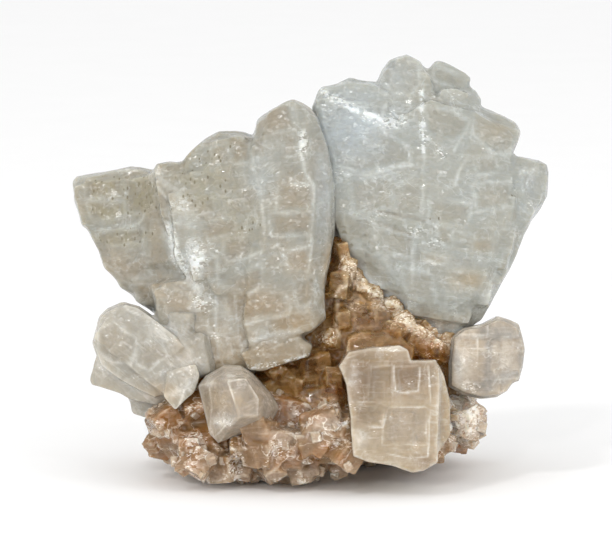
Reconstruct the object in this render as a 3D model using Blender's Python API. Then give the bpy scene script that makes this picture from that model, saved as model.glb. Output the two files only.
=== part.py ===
"""Halite crystal cluster: intergrown stepped spires, blocks and cubes on a crust of small cubes, one solid.

Outlines are (across, up) pairs in millimetres, seen square on from a direction LEAN_DEG above level. Depth runs
away from that side. The finished solid is turned back upright, cut flat underneath and moved onto its own middle.
"""
import math
import random

import bmesh
import bpy
from mathutils import Euler, Matrix, Vector

MM = 0.001
LEAN_DEG = 8.0  # the outlines are drawn looking down by this much
FLOOR_MM = 3.0  # height in the drawn frame, turned upright, at which the solid is cut flat
SETTLE = (-0.25, -2.86)  # moves the finished solid's middle onto the origin, mm; set from its measured box
CHAMFER = 0.7  # worn edge on the crystals, mm
MOST_TRIANGLES = 9800

# ---------------------------------------------------------------- outlines, mm
BLADE = [
    (-59.5, 76.5), (-58.5, 78), (-52.5, 79), (-44.5, 80.5), (-39.5, 79.5), (-31, 72), (-28.5, 49.5),
    (-34, 40), (-38, 42.5), (-39.5, 44), (-43.5, 46.5), (-44, 48), (-47.5, 50), (-48.5, 52), (-51.5, 55),
    (-53, 59.5), (-54.5, 62.5), (-55.5, 65), (-57, 65.5), (-58, 69), (-59, 72),
]
LEFT_COLUMN = [
    (-39, 79), (-38, 81), (-34.5, 81.5), (-32, 81), (-29.5, 84), (-26, 87), (-22.5, 89), (-18.5, 89),
    (-15.5, 88.5), (-12, 86), (-9.5, 72), (-9.5, 57), (-11, 47), (-19.5, 46), (-26, 49.5), (-29.5, 51.5),
    (-32.5, 55), (-34.5, 60), (-35.5, 64), (-37.5, 69),
]
RIGHT_COLUMN = [
    (-13.5, 89.5), (-13, 92), (-11, 93.5), (-8.5, 95), (-6, 96.5), (-4, 97), (-1.5, 96), (0.5, 94.5),
    (2.5, 91), (4.5, 85.5), (6, 79), (6.5, 72), (6, 63), (5, 57), (3.5, 49.5), (4, 42.5), (0.5, 39),
    (-7.5, 36), (-15, 34.5), (-17, 39.5), (-15.5, 62), (-15, 81.5),
]
BLUE_BLOCK = [
    (0.5, 95), (2, 99.5), (3, 100.5), (7, 101), (10, 102.5), (12, 102), (16, 101.5), (20.5, 99),
    (25.5, 92), (26.5, 79.5), (17.5, 74), (6, 74), (5.5, 84.5), (3, 90.5),
]
PEAK = [
    (17, 101), (18, 104), (20, 107), (22.5, 108), (24.5, 108.5), (27.5, 107), (29, 105), (30.5, 103.5),
    (32, 98), (30, 88), (19, 88),
]
CAP = [(29.5, 103.5), (31.5, 107), (33, 107), (39, 104), (40.5, 102.5), (39.5, 100), (35, 96), (29, 97)]
LEDGE_BLOCK = [
    (29, 99.5), (32.5, 100.5), (39.5, 100.5), (41.5, 99.5), (43, 97), (42, 95.5), (47.5, 93.5), (51.5, 91.5),
    (53, 89), (52, 86), (50.5, 82.5), (47.5, 77), (36.5, 74), (29, 82),
]
WING = [
    (46.5, 82), (52.5, 83), (57.5, 82), (59.5, 81), (60, 79), (59.5, 73), (58, 70), (56, 67.5), (47.5, 64),
    (43.5, 74.5),
]
BODY = [
    (6, 80), (17.5, 84.5), (28.5, 90), (40, 87), (50, 81.5), (55, 74.5), (56.5, 69), (55, 66), (52, 62),
    (51, 57.5), (50, 54.5), (48, 51), (46.5, 48), (43.5, 43.5), (43, 42), (38.5, 39), (34, 37), (30, 39),
    (25.5, 40.5), (23, 44.5), (20, 46), (17, 48), (12.5, 51), (9.5, 54), (10, 59.5), (8, 64), (7, 70.5),
]
LEFT_BLOCK = [
    (-54, 36.5), (-53, 40), (-52, 43), (-50, 45), (-46.5, 46.5), (-42.5, 45.5), (-37.5, 42), (-33, 38.5),
    (-29.5, 34.5), (-30.5, 25.5), (-38, 22.5), (-46, 26.5), (-52, 31),
]
LEFT_STEP = [
    (-53, 33), (-42, 33), (-34, 26), (-36, 20.5), (-44.5, 22.5), (-47, 24), (-54, 26), (-54.5, 27.5),
]
LEFT_FOOT = [(-45, 23), (-34.5, 24), (-29.5, 21.5), (-31, 15.5), (-41, 18), (-44, 19)]
PALE_STEP = [(-35, 29.5), (-28, 31.5), (-27, 28.5), (-28.5, 24.5), (-33, 20), (-36, 23.5)]
NECK = [
    (-39.5, 51), (-27, 53), (-14, 50), (-13, 36), (-14, 28), (-26, 26), (-33.5, 30), (-37, 40),
]
CORNER_CRYSTAL = [
    (-27.5, 26), (-25.5, 28.5), (-21, 31), (-17, 31), (-14, 29), (-11, 25.5), (-9, 23.5), (-7.5, 20.5),
    (-9, 17.5), (-11.5, 16), (-16, 15), (-19.5, 13.5), (-22.5, 12), (-24.5, 14), (-26, 20),
]
CUBE_MAIN = [
    (9.5, 34.5), (15, 35.5), (22, 36), (24, 35), (25, 32.3), (31, 32.5), (32, 29.5), (31.3, 7.5),
    (28, 5.5), (25, 5), (21, 6.5), (14.5, 7.5), (10.5, 9), (10, 18), (9, 26.5), (7, 31),
]
CUBE_SIDE = [(26, 30.5), (31.5, 31.5), (33, 28.5), (34.5, 22), (34.5, 14), (31, 9), (26, 8.5)]
RIGHT_BLOCK = [
    (35.5, 38), (38, 40), (43, 41), (47, 43), (50, 42), (52, 41), (53, 37.5), (53.5, 35), (53, 31),
    (52, 27), (50.5, 26.5), (49, 24.5), (46.5, 23), (42.5, 22.5), (38, 23.5), (34.5, 25.5), (34.5, 32),
]
SHELF = [
    (-17, 34), (-10, 37), (-2.5, 38), (1, 36), (0, 33), (-5, 31.5), (-12, 29.5), (-15, 30),
]
TAN_CUBE = [(6, 47), (7.5, 50), (11.5, 51), (23, 45), (24, 36), (10, 34), (5.5, 40)]
GREY_CUBE = [(9.5, 38), (12.5, 39.5), (22, 38.5), (26, 35), (25, 29), (8.5, 29)]
BROWN_CUBE = [(22.5, 40), (28.5, 40), (36, 37.5), (36.5, 31.5), (32.5, 27), (24.5, 28)]
BASE_FRONT = [
    (-39.5, 19.5), (-38.5, 15), (-36.5, 10), (-33.5, 6), (-27.5, 3), (-21.5, 2), (-15, 3), (-8.5, 1.5),
    (-4.5, 1.5), (3.5, 3.5), (5.5, 6.5), (10, 10), (24, 8), (32, 9), (35, 13), (34, 22), (8, 21), (-6, 24),
    (-28, 30), (-36, 27),
]
BASE_REAR = [
    (-32, 7), (-12, 4.5), (6, 4.5), (20, 6.5), (32, 8.5), (35, 10), (37, 14), (41, 19), (43, 26), (39, 36),
    (30, 44), (8, 48), (-14, 50), (-32, 44), (-37, 30), (-36, 16),
]


# ---------------------------------------------------------------- small geometry helpers
def clear_scene():
    for ob in list(bpy.data.objects):
        bpy.data.objects.remove(ob, do_unlink=True)


def cut_flat(bm):
    """Cuts away what lies under the floor, height 0, and closes the cut."""
    for v in bm.verts:
        if abs(v.co.z) < 0.02 * MM:
            v.co.z = -0.05 * MM
    made = bmesh.ops.bisect_plane(bm, geom=bm.verts[:] + bm.edges[:] + bm.faces[:], dist=1e-7,
                                  plane_co=(0, 0, 0), plane_no=(0, 0, 1), clear_inner=True)
    rim = [g for g in made["geom_cut"] if isinstance(g, bmesh.types.BMEdge)]
    for edge in rim:
        for v in edge.verts:
            v.co.z = 0.0
    bmesh.ops.edgeloop_fill(bm, edges=rim)
    bm.normal_update()
    bmesh.ops.triangulate(bm, faces=bm.faces, quad_method="FIXED", ngon_method="EAR_CLIP")
    bmesh.ops.recalc_face_normals(bm, faces=bm.faces)


def new_object(name, bm):
    """Stands a bmesh given in drawn millimetres (across, depth, up) upright, in metres, and links it."""
    for v in [v for v in bm.verts if not v.link_faces]:
        bm.verts.remove(v)
    bm.normal_update()
    bmesh.ops.triangulate(bm, faces=bm.faces, quad_method="FIXED", ngon_method="EAR_CLIP")
    bmesh.ops.recalc_face_normals(bm, faces=bm.faces)
    place = Matrix.Translation((SETTLE[0] * MM, SETTLE[1] * MM, -FLOOR_MM * MM))
    turn = Matrix.Rotation(math.radians(-LEAN_DEG), 4, "X")
    bmesh.ops.transform(bm, matrix=place @ turn @ Matrix.Scale(MM, 4), verts=bm.verts)
    if min(v.co.z for v in bm.verts) < 0:
        cut_flat(bm)
    mesh = bpy.data.meshes.new(name)
    bm.to_mesh(mesh)
    bm.free()
    ob = bpy.data.objects.new(name, mesh)
    bpy.context.scene.collection.objects.link(ob)
    return ob


def area(outline):
    total = 0.0
    for (ax, aw), (bx, bw) in zip(outline, outline[1:] + outline[:1]):
        total += ax * bw - bx * aw
    return total / 2


def centre(outline):
    n = len(outline)
    return sum(p[0] for p in outline) / n, sum(p[1] for p in outline) / n


def inset(outline, d):
    """The outline shrunk towards its middle so its widest points move in by d. Its steps keep their shape."""
    xs = [p[0] for p in outline]
    ws = [p[1] for p in outline]
    mx = (min(xs) + max(xs)) / 2
    mw = (min(ws) + max(ws)) / 2
    kx = 1 - 2 * d / (max(xs) - min(xs))
    kw = 1 - 2 * d / (max(ws) - min(ws))
    return [(mx + (x - mx) * kx, mw + (w - mw) * kw) for x, w in outline]


def prism(name, outline, front, back, chamfer=CHAMFER, slope=(0.0, 0.0), rear_chamfer=True):
    """A flat-faced crystal: the outline from depth `front` to `back`, edges worn, front face sloped."""
    if area(outline) < 0:
        outline = outline[::-1]
    cx, cw = centre(outline)
    small = inset(outline, chamfer)
    rings = [(small, front), (outline, front + chamfer), (outline, back)]
    if rear_chamfer:
        rings = rings[:2] + [(outline, back - chamfer), (small, back)]
    bm = bmesh.new()
    loops = []
    for i, (ring, t) in enumerate(rings):
        k = 1.0 if i < 2 else 0.0
        loops.append([bm.verts.new((x, t + k * (slope[0] * (x - cx) + slope[1] * (w - cw)), w)) for x, w in ring])
    n = len(outline)
    for a, b in zip(loops, loops[1:]):
        for i in range(n):
            j = (i + 1) % n
            bm.faces.new((a[i], a[j], b[j], b[i]))
    bm.faces.new(loops[0])
    bm.faces.new(loops[-1][::-1])
    return new_object(name, bm)


def block(name, at, size, turn=(0.0, 0.0, 0.0), taper=0.12):
    """A small crystal: a box with its middle `at`, turned by degrees, each face worn in to leave a chamfer."""
    bm = bmesh.new()
    half = [s / 2 for s in size]
    cut = min(size) * taper
    spots = []
    for sx in (-1, 1):
        for sy in (-1, 1):
            for sz in (-1, 1):
                spots.append((sx * half[0], sy * (half[1] - cut), sz * (half[2] - cut)))
                spots.append((sx * (half[0] - cut), sy * half[1], sz * (half[2] - cut)))
                spots.append((sx * (half[0] - cut), sy * (half[1] - cut), sz * half[2]))
    verts = [bm.verts.new(p) for p in spots]
    bmesh.ops.convex_hull(bm, input=verts)
    spin = Euler([math.radians(a) for a in turn]).to_matrix().to_4x4()
    bmesh.ops.transform(bm, matrix=Matrix.Translation(at) @ spin, verts=bm.verts)
    return new_object(name, bm)


def plain_block(name, at, size, turn=(0.0, 0.0, 0.0), draft=0.0):
    """A sharp-edged box, its front face smaller by `draft` on each side."""
    bm = bmesh.new()
    hx, hy, hz = (s / 2 for s in size)
    front = [(-hx + draft, -hy, -hz + draft), (hx - draft, -hy, -hz + draft),
             (hx - draft, -hy, hz - draft), (-hx + draft, -hy, hz - draft)]
    back = [(-hx, hy, -hz), (hx, hy, -hz), (hx, hy, hz), (-hx, hy, hz)]
    verts = [bm.verts.new(p) for p in front + back]
    bmesh.ops.convex_hull(bm, input=verts)
    spin = Euler([math.radians(a) for a in turn]).to_matrix().to_4x4()
    bmesh.ops.transform(bm, matrix=Matrix.Translation(at) @ spin, verts=bm.verts)
    return new_object(name, bm)


def lump(name, at, radii, seed, corners=26):
    """A flat-faceted lump of massive salt: the hull of points strewn on an ellipsoid."""
    rng = random.Random(seed)
    bm = bmesh.new()
    verts = []
    for i in range(corners):
        z = 1 - 2 * (i + 0.5) / corners
        a = i * 2.399963 + rng.uniform(-0.3, 0.3)
        r = math.sqrt(1 - z * z)
        k = rng.uniform(0.88, 1.0)
        spot = (at[0] + radii[0] * k * r * math.cos(a), at[1] + radii[1] * k * r * math.sin(a),
                at[2] + radii[2] * k * z)
        verts.append(bm.verts.new(spot))
    bmesh.ops.convex_hull(bm, input=verts)
    return new_object(name, bm)


def clip(outline, corner, along):
    """The part of the outline on the left of the line through `corner` in direction `along`."""
    out = []
    n = len(outline)
    for i in range(n):
        a = outline[i]
        b = outline[(i + 1) % n]
        da = along[0] * (a[1] - corner[1]) - along[1] * (a[0] - corner[0])
        db = along[0] * (b[1] - corner[1]) - along[1] * (b[0] - corner[0])
        if da >= 0:
            out.append(a)
        if (da > 0 > db) or (da < 0 < db):
            k = da / (da - db)
            out.append((a[0] + (b[0] - a[0]) * k, a[1] + (b[1] - a[1]) * k))
    return out


def tidy(outline, least=1.0):
    """Drops corners closer than `least` to the last one kept, and corners that lie on a straight edge."""
    out = []
    for p in outline:
        if not out or math.dist(p, out[-1]) > least:
            out.append(p)
    while len(out) > 2 and math.dist(out[0], out[-1]) < least:
        out.pop()
    kept = []
    n = len(out)
    for i in range(n):
        a, b, c = out[i - 1], out[i], out[(i + 1) % n]
        turn = (b[0] - a[0]) * (c[1] - b[1]) - (b[1] - a[1]) * (c[0] - b[0])
        if abs(turn) > 0.05:
            kept.append(b)
    return kept


def edge_distance(outline, x, w):
    best = 1e9
    n = len(outline)
    p = Vector((x, w))
    for i in range(n):
        a = Vector(outline[i])
        b = Vector(outline[(i + 1) % n])
        k = max(0.0, min(1.0, (p - a).dot(b - a) / (b - a).length_squared))
        best = min(best, (p - a.lerp(b, k)).length)
    return best


def tile(name, outline, front, back, draft, slope=(0.0, 0.0)):
    """One brick of a crystal: worn edges in front, plain at the back."""
    cx, cw = centre(outline)
    rings = [(inset(outline, draft), front), (outline, front + draft), (outline, back)]
    bm = bmesh.new()
    loops = []
    for i, (ring, t) in enumerate(rings):
        k = 1.0 if i < 2 else -0.6
        loops.append([bm.verts.new((x, t + k * (slope[0] * (x - cx) + slope[1] * (w - cw)), w)) for x, w in ring])
    n = len(outline)
    for a, b in zip(loops, loops[1:]):
        for i in range(n):
            j = (i + 1) % n
            bm.faces.new((a[i], a[j], b[j], b[i]))
    bm.faces.new(loops[0])
    bm.faces.new(loops[-1][::-1])
    return new_object(name, bm)


def stack(name, outline, mid, front, rear, rim, spin, pitch, scatter, seed, reach=9.0, crest=None):
    """A crystal built up of bricks on its own lattice: thick in the middle, stepping down to its rim.

    `crest` is (across, fall to the left, fall to the right): the front rises to a ridge there.
    """
    if area(outline) < 0:
        outline = outline[::-1]
    prism(f"{name}_core", outline, mid - rim, mid + rim * 1.2, chamfer=1.0, rear_chamfer=False)
    rng = random.Random(seed)
    cx, cw = centre(outline)
    a = math.radians(spin)
    right = (math.cos(a), math.sin(a))
    up = (-math.sin(a), math.cos(a))
    far = max(math.hypot(x - cx, w - cw) for x, w in outline)
    v = -far
    count = 0
    while v < far:
        high = rng.uniform(0.65, 1.4) * pitch[1]
        u = -far - rng.uniform(0, pitch[0])
        while u < far:
            wide = rng.uniform(0.6, 1.6) * pitch[0]
            twist = a + math.radians(rng.uniform(-1.2, 1.2))
            east = (math.cos(twist), math.sin(twist))
            north = (-math.sin(twist), math.cos(twist))
            du, dv = (u - rng.uniform(0.1, 0.35), v - rng.uniform(0.1, 0.35))
            low = (cx + du * right[0] + dv * up[0], cw + du * right[1] + dv * up[1])
            du, dv = (u + wide + rng.uniform(0.1, 0.35), v + high + rng.uniform(0.1, 0.35))
            top = (cx + du * right[0] + dv * up[0], cw + du * right[1] + dv * up[1])
            ring = inset(outline, rng.uniform(0.25, 0.7))
            for corner, along in ((low, east), (top, north), (top, (-east[0], -east[1])), (low, (-north[0], -north[1]))):
                ring = clip(ring, corner, along) if len(ring) > 2 else []
            ring = tidy(ring)
            step_f = rng.uniform(-scatter, scatter)
            step_r = rng.uniform(-scatter, scatter)
            slope = (rng.uniform(-0.05, 0.05), rng.uniform(-0.05, 0.05))
            if len(ring) > 2 and area(ring) > 7.0:
                mx, mw = centre(ring)
                s = min(1.0, edge_distance(outline, mx, mw) / reach)
                dome = math.sqrt(1 - (1 - s) ** 2)
                deep_f = max(rim * 0.6, rim + (front - rim) * dome + step_f)
                if crest:
                    fall = crest[1] if mx < crest[0] else -crest[2]
                    deep_f = max(rim * 0.6, deep_f - abs(fall * (mx - crest[0])))
                    slope = (slope[0] - fall, slope[1])
                deep_r = max(rim * 0.6, rim + (rear - rim) * dome + step_r)
                tile(f"{name}_{count}", ring, mid - deep_f, mid + deep_r, 0.55, slope)
                count += 1
            u += wide
        v += high


# ---------------------------------------------------------------- the crystals
def left_blade():
    stack("blade", BLADE, 5.0, 8.5, 8.0, 3.5, 8, (10.0, 7.5), 0.8, 3)


def left_spire():
    stack("left_column", LEFT_COLUMN, -3.0, 14.0, 12.0, 5.0, 12, (9.5, 8.0), 0.9, 5, reach=8.0)
    flat = tidy(clip(RIGHT_COLUMN, (0.3, 60.0), (0.02, 1.0)))
    facet = tidy(clip(RIGHT_COLUMN, (-1.2, 60.0), (0.0, -1.0)))
    stack("column_flat", flat, -5.0, 14.5, 14.0, 6.0, 3, (8.5, 8.5), 0.6, 6, reach=3.0, crest=(0.3, 0.1, 0.0))
    stack("column_facet", facet, -5.0, 14.5, 13.0, 6.5, 1, (12.0, 11.0), 0.4, 9, reach=1.2, crest=(-0.6, 0.0, 0.9))
    block("spire_link", (-13.5, -4.0, 66.0), (9.0, 17.0, 36.0), (2, 3, -3), taper=0.1)


def right_spire():
    stack("body", BODY, 6.0, 16.5, 14.5, 5.5, -9, (10.5, 8.5), 1.1, 8, reach=13.0)
    stack("blue", BLUE_BLOCK, 5.0, 11.5, 9.5, 6.0, -4, (12.0, 10.0), 0.8, 9)
    stack("peak", PEAK, 5.5, 9.0, 9.0, 6.0, -6, (9.0, 9.0), 0.7, 10, reach=5.0)
    prism("cap", CAP, 0.5, 11.0, chamfer=0.9, slope=(0.08, 0.1))
    stack("ledge", LEDGE_BLOCK, 6.0, 10.5, 9.5, 5.5, -22, (10.0, 7.0), 0.9, 11, reach=6.0)
    stack("wing", WING, 7.0, 9.0, 8.5, 6.0, -10, (10.0, 9.0), 0.8, 12, reach=5.0)
    block("spire_gap", (6.5, 4.0, 66.0), (8.0, 14.0, 30.0), (0, 6, 4), taper=0.1)


def left_block():
    stack("left_block", LEFT_BLOCK, -7.0, 13.5, 12.0, 6.0, -38, (14.0, 12.0), 0.7, 13, reach=8.0)
    prism("left_step", LEFT_STEP, -14.0, 1.0, chamfer=1.0, slope=(0.0, 0.15))
    prism("left_foot", LEFT_FOOT, -11.0, 3.0)
    prism("pale_step", PALE_STEP, -23.0, -8.0, chamfer=0.6, slope=(-0.1, 0.2))


def corner_crystal():
    """A cube met corner on: its outline tapers towards the viewer to a ridge and a lit facet."""
    ring = CORNER_CRYSTAL if area(CORNER_CRYSTAL) > 0 else CORNER_CRYSTAL[::-1]
    bm = bmesh.new()
    for x, w in ring:
        bm.verts.new((x, -13.0, w))
        bm.verts.new((x, -24.0 + 0.16 * (w - 12), w))
    facet = [(-19.8, -35.0, 27.8), (-15.6, -33.8, 28.0), (-12.4, -32.0, 23.0), (-12.6, -32.5, 18.6),
             (-17.2, -35.5, 18.4)]
    for p in facet:
        bm.verts.new(p)
    bmesh.ops.convex_hull(bm, input=bm.verts)
    new_object("corner_crystal", bm)


def front_cube():
    prism("cube", CUBE_MAIN, -33.0, -9.0, chamfer=0.9, slope=(0.06, 0.02))
    prism("cube_side", CUBE_SIDE, -28.0, -8.0, chamfer=1.2)
    plain_block("cube_step_a", (15.0, -32.6, 27.0), (9.0, 3.0, 11.5), (0, 0, 3), draft=0.4)
    plain_block("cube_step_b", (25.8, -31.9, 27.5), (7.0, 3.0, 7.0), (0, 0, 3), draft=0.4)
    plain_block("cube_step_c", (18.5, -32.6, 15.5), (13.5, 3.0, 8.0), (0, 0, 3), draft=0.4)


def right_block():
    stack("right_block", RIGHT_BLOCK, -4.0, 11.0, 11.0, 7.0, 2, (11.0, 13.0), 0.5, 15, reach=3.0)


def inner_crystals():
    stack("neck", NECK, 1.0, 12.0, 11.0, 7.0, -5, (9.0, 8.5), 1.0, 17, reach=6.0)
    block("neck_column", (-20.2, -12.5, 38.5), (5.4, 9.0, 15.0), (0, 4, 0), taper=0.1)
    block("neck_cube_a", (-30.0, -12.0, 41.0), (9.0, 8.0, 9.5), (4, -6, 8), taper=0.08)
    block("neck_cube_b", (-27.5, -12.0, 32.0), (7.0, 8.0, 7.0), (-4, 12, -6), taper=0.08)
    prism("shelf", SHELF, -20.0, 4.0, chamfer=0.9, slope=(0.05, 0.2))
    prism("tan_cube", TAN_CUBE, -5.0, 16.0, chamfer=0.8, slope=(0.1, 0.05))
    prism("grey_cube", GREY_CUBE, -15.0, 6.0, chamfer=0.9, slope=(0.05, 0.25))
    prism("brown_cube", BROWN_CUBE, -7.0, 14.0, chamfer=0.9, slope=(-0.1, 0.1))
    block("cavity_cube_a", (-2.0, -3.0, 29.5), (13.0, 12.0, 12.0), (8, 14, 20), taper=0.06)
    block("cavity_cube_b", (5.0, 0.0, 37.0), (11.0, 12.0, 11.0), (-6, 6, -14), taper=0.06)
    block("cavity_cube_c", (-8.5, -8.0, 24.5), (11.0, 10.0, 8.5), (10, -16, 24), taper=0.06)
    block("cavity_cube_d", (3.5, -12.0, 22.0), (10.0, 8.0, 6.5), (-8, -8, -12), taper=0.06)
    block("cavity_cube_e", (-10.0, -2.0, 33.0), (8.0, 10.0, 7.0), (14, 4, 32), taper=0.06)
    block("cavity_cube_f", (33.0, -4.0, 27.0), (8.0, 9.0, 9.0), (6, 12, 28), taper=0.06)
    block("bridge_cube", (6.5, 3.0, 48.8), (10.0, 15.0, 9.5), (4, 8, -6), taper=0.08)


REAR_BLOCKS = [
    # middle, size, turn in degrees
    ((-16.0, 17.0, 41.0), (20.0, 17.0, 20.0), (4, 9, 14)),
    ((20.0, 23.0, 34.0), (18.0, 15.0, 17.0), (-5, -12, -9)),
    ((2.0, 27.0, 22.0), (15.0, 14.0, 15.0), (6, 18, 6)),
    ((-27.0, 16.0, 25.0), (14.0, 14.0, 13.0), (-6, 14, -8)),
    ((34.0, 14.0, 27.0), (13.0, 13.0, 12.0), (5, -10, 12)),
    ((6.0, 14.0, 60.0), (14.0, 13.0, 20.0), (3, 4, 10)),
    ((-30.0, 9.0, 62.0), (13.0, 10.0, 15.0), (-2, -5, 6)),
    ((-12.0, 25.0, 27.0), (10.0, 11.0, 10.0), (12, -22, 16)),
    ((13.0, 29.0, 13.5), (12.0, 11.0, 11.0), (-14, 24, -12)),
    ((28.0, 22.0, 17.0), (12.0, 12.0, 11.0), (18, -8, 26)),
    ((-24.0, 21.0, 13.5), (11.0, 11.0, 10.0), (-10, 30, 12)),
    ((3.0, 21.0, 38.0), (11.0, 13.0, 12.0), (8, -18, -20)),
    ((30.0, 17.0, 41.0), (11.0, 11.0, 10.0), (-12, 16, 8)),
]


def rear_crystals():
    """Blocks grown on the far side, so it is finished like the near side."""
    for i, (at, size, turn) in enumerate(REAR_BLOCKS):
        block(f"rear_{i}", at, size, turn, taper=0.07)


def base():
    prism("base_front", BASE_FRONT, -16.0, 12.0, chamfer=3.0)
    prism("base_rear", BASE_REAR, 3.0, 25.0, chamfer=3.5)
    lump("base_lump_a", (-26.0, -11.0, 12.0), (12.0, 11.0, 9.0), 41, corners=22)
    lump("base_lump_b", (-6.5, -17.0, 10.0), (8.0, 9.0, 8.0), 42, corners=22)
    lump("base_lump_c", (4.5, -17.5, 13.5), (7.0, 10.5, 8.0), 43, corners=22)
    lump("base_lump_e", (36.0, -2.0, 18.0), (7.0, 11.0, 8.0), 45, corners=22)
    lump("base_lump_f", (10.0, 21.0, 14.0), (24.0, 11.0, 11.0), 46, corners=22)
    lump("base_lump_g", (-20.0, 15.0, 15.0), (15.0, 11.0, 11.0), 47, corners=22)


DRUSE_ZONES = [
    # middle, half spread, cube size range, count, seed
    ((-31.0, -16.0, 18.0), (5.0, 5.0, 6.0), (3.5, 6.5), 10, 51),
    ((-25.0, -20.0, 9.0), (9.0, 4.0, 4.0), (3.5, 7.0), 13, 52),
    ((-7.5, -25.0, 10.5), (6.5, 2.0, 6.0), (4.0, 8.0), 12, 53),
    ((4.0, -26.0, 14.0), (5.5, 2.5, 6.0), (4.0, 7.0), 10, 54),
    ((-6.0, -15.0, 4.8), (14.0, 6.0, 1.6), (3.0, 5.0), 12, 55),
    ((38.0, -8.0, 17.0), (4.0, 6.0, 4.5), (2.8, 5.0), 13, 56),
    ((33.0, -14.0, 12.5), (2.0, 4.0, 3.5), (3.0, 5.0), 6, 57),
    ((-36.0, -2.0, 15.0), (3.0, 9.0, 6.0), (3.5, 6.5), 9, 58),
    ((-33.0, 14.0, 15.0), (4.0, 8.0, 6.5), (4.0, 7.5), 9, 59),
    ((-14.0, 25.0, 15.0), (15.0, 2.5, 8.0), (4.5, 8.0), 12, 60),
    ((14.0, 30.0, 15.0), (16.0, 2.5, 8.0), (4.5, 8.0), 12, 61),
    ((37.0, 14.0, 18.0), (4.0, 9.0, 7.0), (3.5, 7.0), 10, 62),
]


def base_druse():
    """Small cubes grown at all angles over the base."""
    for zone, (mid, spread, size, count, seed) in enumerate(DRUSE_ZONES):
        rng = random.Random(seed)
        for i in range(count):
            at = [m + rng.uniform(-s, s) for m, s in zip(mid, spread)]
            side = rng.uniform(*size)
            turn = [rng.uniform(0, 90) for _ in range(3)]
            shape = (side, side * rng.uniform(0.8, 1.2), side * rng.uniform(0.8, 1.2))
            plain_block(f"druse_{zone}_{i}", at, shape, turn)


# ---------------------------------------------------------------- joining
def apply_modifiers(ob):
    graph = bpy.context.evaluated_depsgraph_get()
    mesh = bpy.data.meshes.new_from_object(ob.evaluated_get(graph))
    ob.modifiers.clear()
    ob.data = mesh


def join_all(name):
    """One closed solid from every crystal made so far."""
    pieces = [ob for ob in bpy.data.objects if ob.type == "MESH"]
    group = bpy.data.collections.new("grown_together")
    bpy.context.scene.collection.children.link(group)
    first = pieces[0]
    for ob in pieces[1:]:
        group.objects.link(ob)
    mod = first.modifiers.new("union", "BOOLEAN")
    mod.operation = "UNION"
    mod.operand_type = "COLLECTION"
    mod.collection = group
    mod.solver = "EXACT"
    mod.use_self = False
    apply_modifiers(first)
    for ob in pieces[1:]:
        bpy.data.objects.remove(ob, do_unlink=True)
    bpy.data.collections.remove(group)
    first.name = name
    first.data.name = name
    return first


def drop_pockets(ob):
    """Keeps the outer skin only: where crystals meet, tiny closed pockets can be left inside."""
    bm = bmesh.new()
    bm.from_mesh(ob.data)
    left = set(bm.verts)
    groups = []
    while left:
        todo = [left.pop()]
        group = list(todo)
        while todo:
            for edge in todo.pop().link_edges:
                for v in edge.verts:
                    if v in left:
                        left.remove(v)
                        todo.append(v)
                        group.append(v)
        groups.append(group)
    groups.sort(key=len)
    for group in groups[:-1]:
        bmesh.ops.delete(bm, geom=group, context="VERTS")
    bm.to_mesh(ob.data)
    bm.free()


def collapse_cost(a, b, spots, faces, around):
    """How far the skin moves, in mm, when corner b slides onto corner a; None where that would break it."""
    if spots[b].z < 1e-4 < spots[a].z:
        return None
    worst = 0.0
    for f in around[b]:
        tri = faces[f]
        if a in tri:
            continue
        p, q, r = (spots[i] for i in tri)
        old = (q - p).cross(r - p)
        p, q, r = (spots[a] if i == b else spots[i] for i in tri)
        new = (q - p).cross(r - p)
        if new.length < 0.004 or old.length < 1e-9 or old.dot(new) < 0.75 * old.length * new.length:
            return None
        worst = max(worst, abs((spots[a] - spots[b]).dot(old.normalized())))
    return worst


def thin_out(ob, most):
    """Slides short edges shut, the least telling first, until about `most` triangles are left."""
    ob.data.calc_loop_triangles()
    spots = [v.co / MM for v in ob.data.vertices]
    faces = {t.index: list(t.vertices) for t in ob.data.loop_triangles}
    around = {i: set() for i in range(len(spots))}
    for f, tri in faces.items():
        for i in tri:
            around[i].add(f)
    for longest, shift in ((0.15, 0.1), (0.3, 0.1), (0.6, 0.1), (1.0, 0.12), (1.6, 0.14), (3.0, 0.16), (6.0, 0.2)):
        edges = set()
        for tri in faces.values():
            for i in range(3):
                pair = (min(tri[i], tri[i - 1]), max(tri[i], tri[i - 1]))
                if (spots[pair[0]] - spots[pair[1]]).length < longest:
                    edges.add(pair)
        for a, b in sorted(edges, key=lambda e: ((spots[e[0]] - spots[e[1]]).length, e)):
            shared = around[a] & around[b]
            if len(faces) <= most or len(shared) != 2:
                continue
            near_a = {i for f in around[a] for i in faces[f]}
            near_b = {i for f in around[b] for i in faces[f]}
            if len(near_a & near_b) != 4:
                continue
            costs = [(collapse_cost(a, b, spots, faces, around), a, b), (collapse_cost(b, a, spots, faces, around), b, a)]
            costs = [c for c in costs if c[0] is not None and c[0] < shift]
            if not costs:
                continue
            _, keep, gone = min(costs)
            for f in shared:
                for i in faces.pop(f):
                    around[i].discard(f)
            for f in around.pop(gone):
                faces[f] = [keep if i == gone else i for i in faces[f]]
                around[keep].add(f)
            around[gone] = set()
    used = sorted({i for tri in faces.values() for i in tri})
    number = {old: new for new, old in enumerate(used)}
    mesh = bpy.data.meshes.new(ob.name)
    mesh.from_pydata([spots[i] * MM for i in used], [], [[number[i] for i in tri] for tri in faces.values()])
    ob.data = mesh


def halite_material():
    mat = bpy.data.materials.new("halite")
    mat.use_nodes = True
    shader = mat.node_tree.nodes["Principled BSDF"]
    shader.inputs["Base Color"].default_value = (0.72, 0.71, 0.66, 1.0)
    shader.inputs["Roughness"].default_value = 0.3
    shader.inputs["Transmission Weight"].default_value = 0.6
    shader.inputs["IOR"].default_value = 1.544
    return mat


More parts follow.
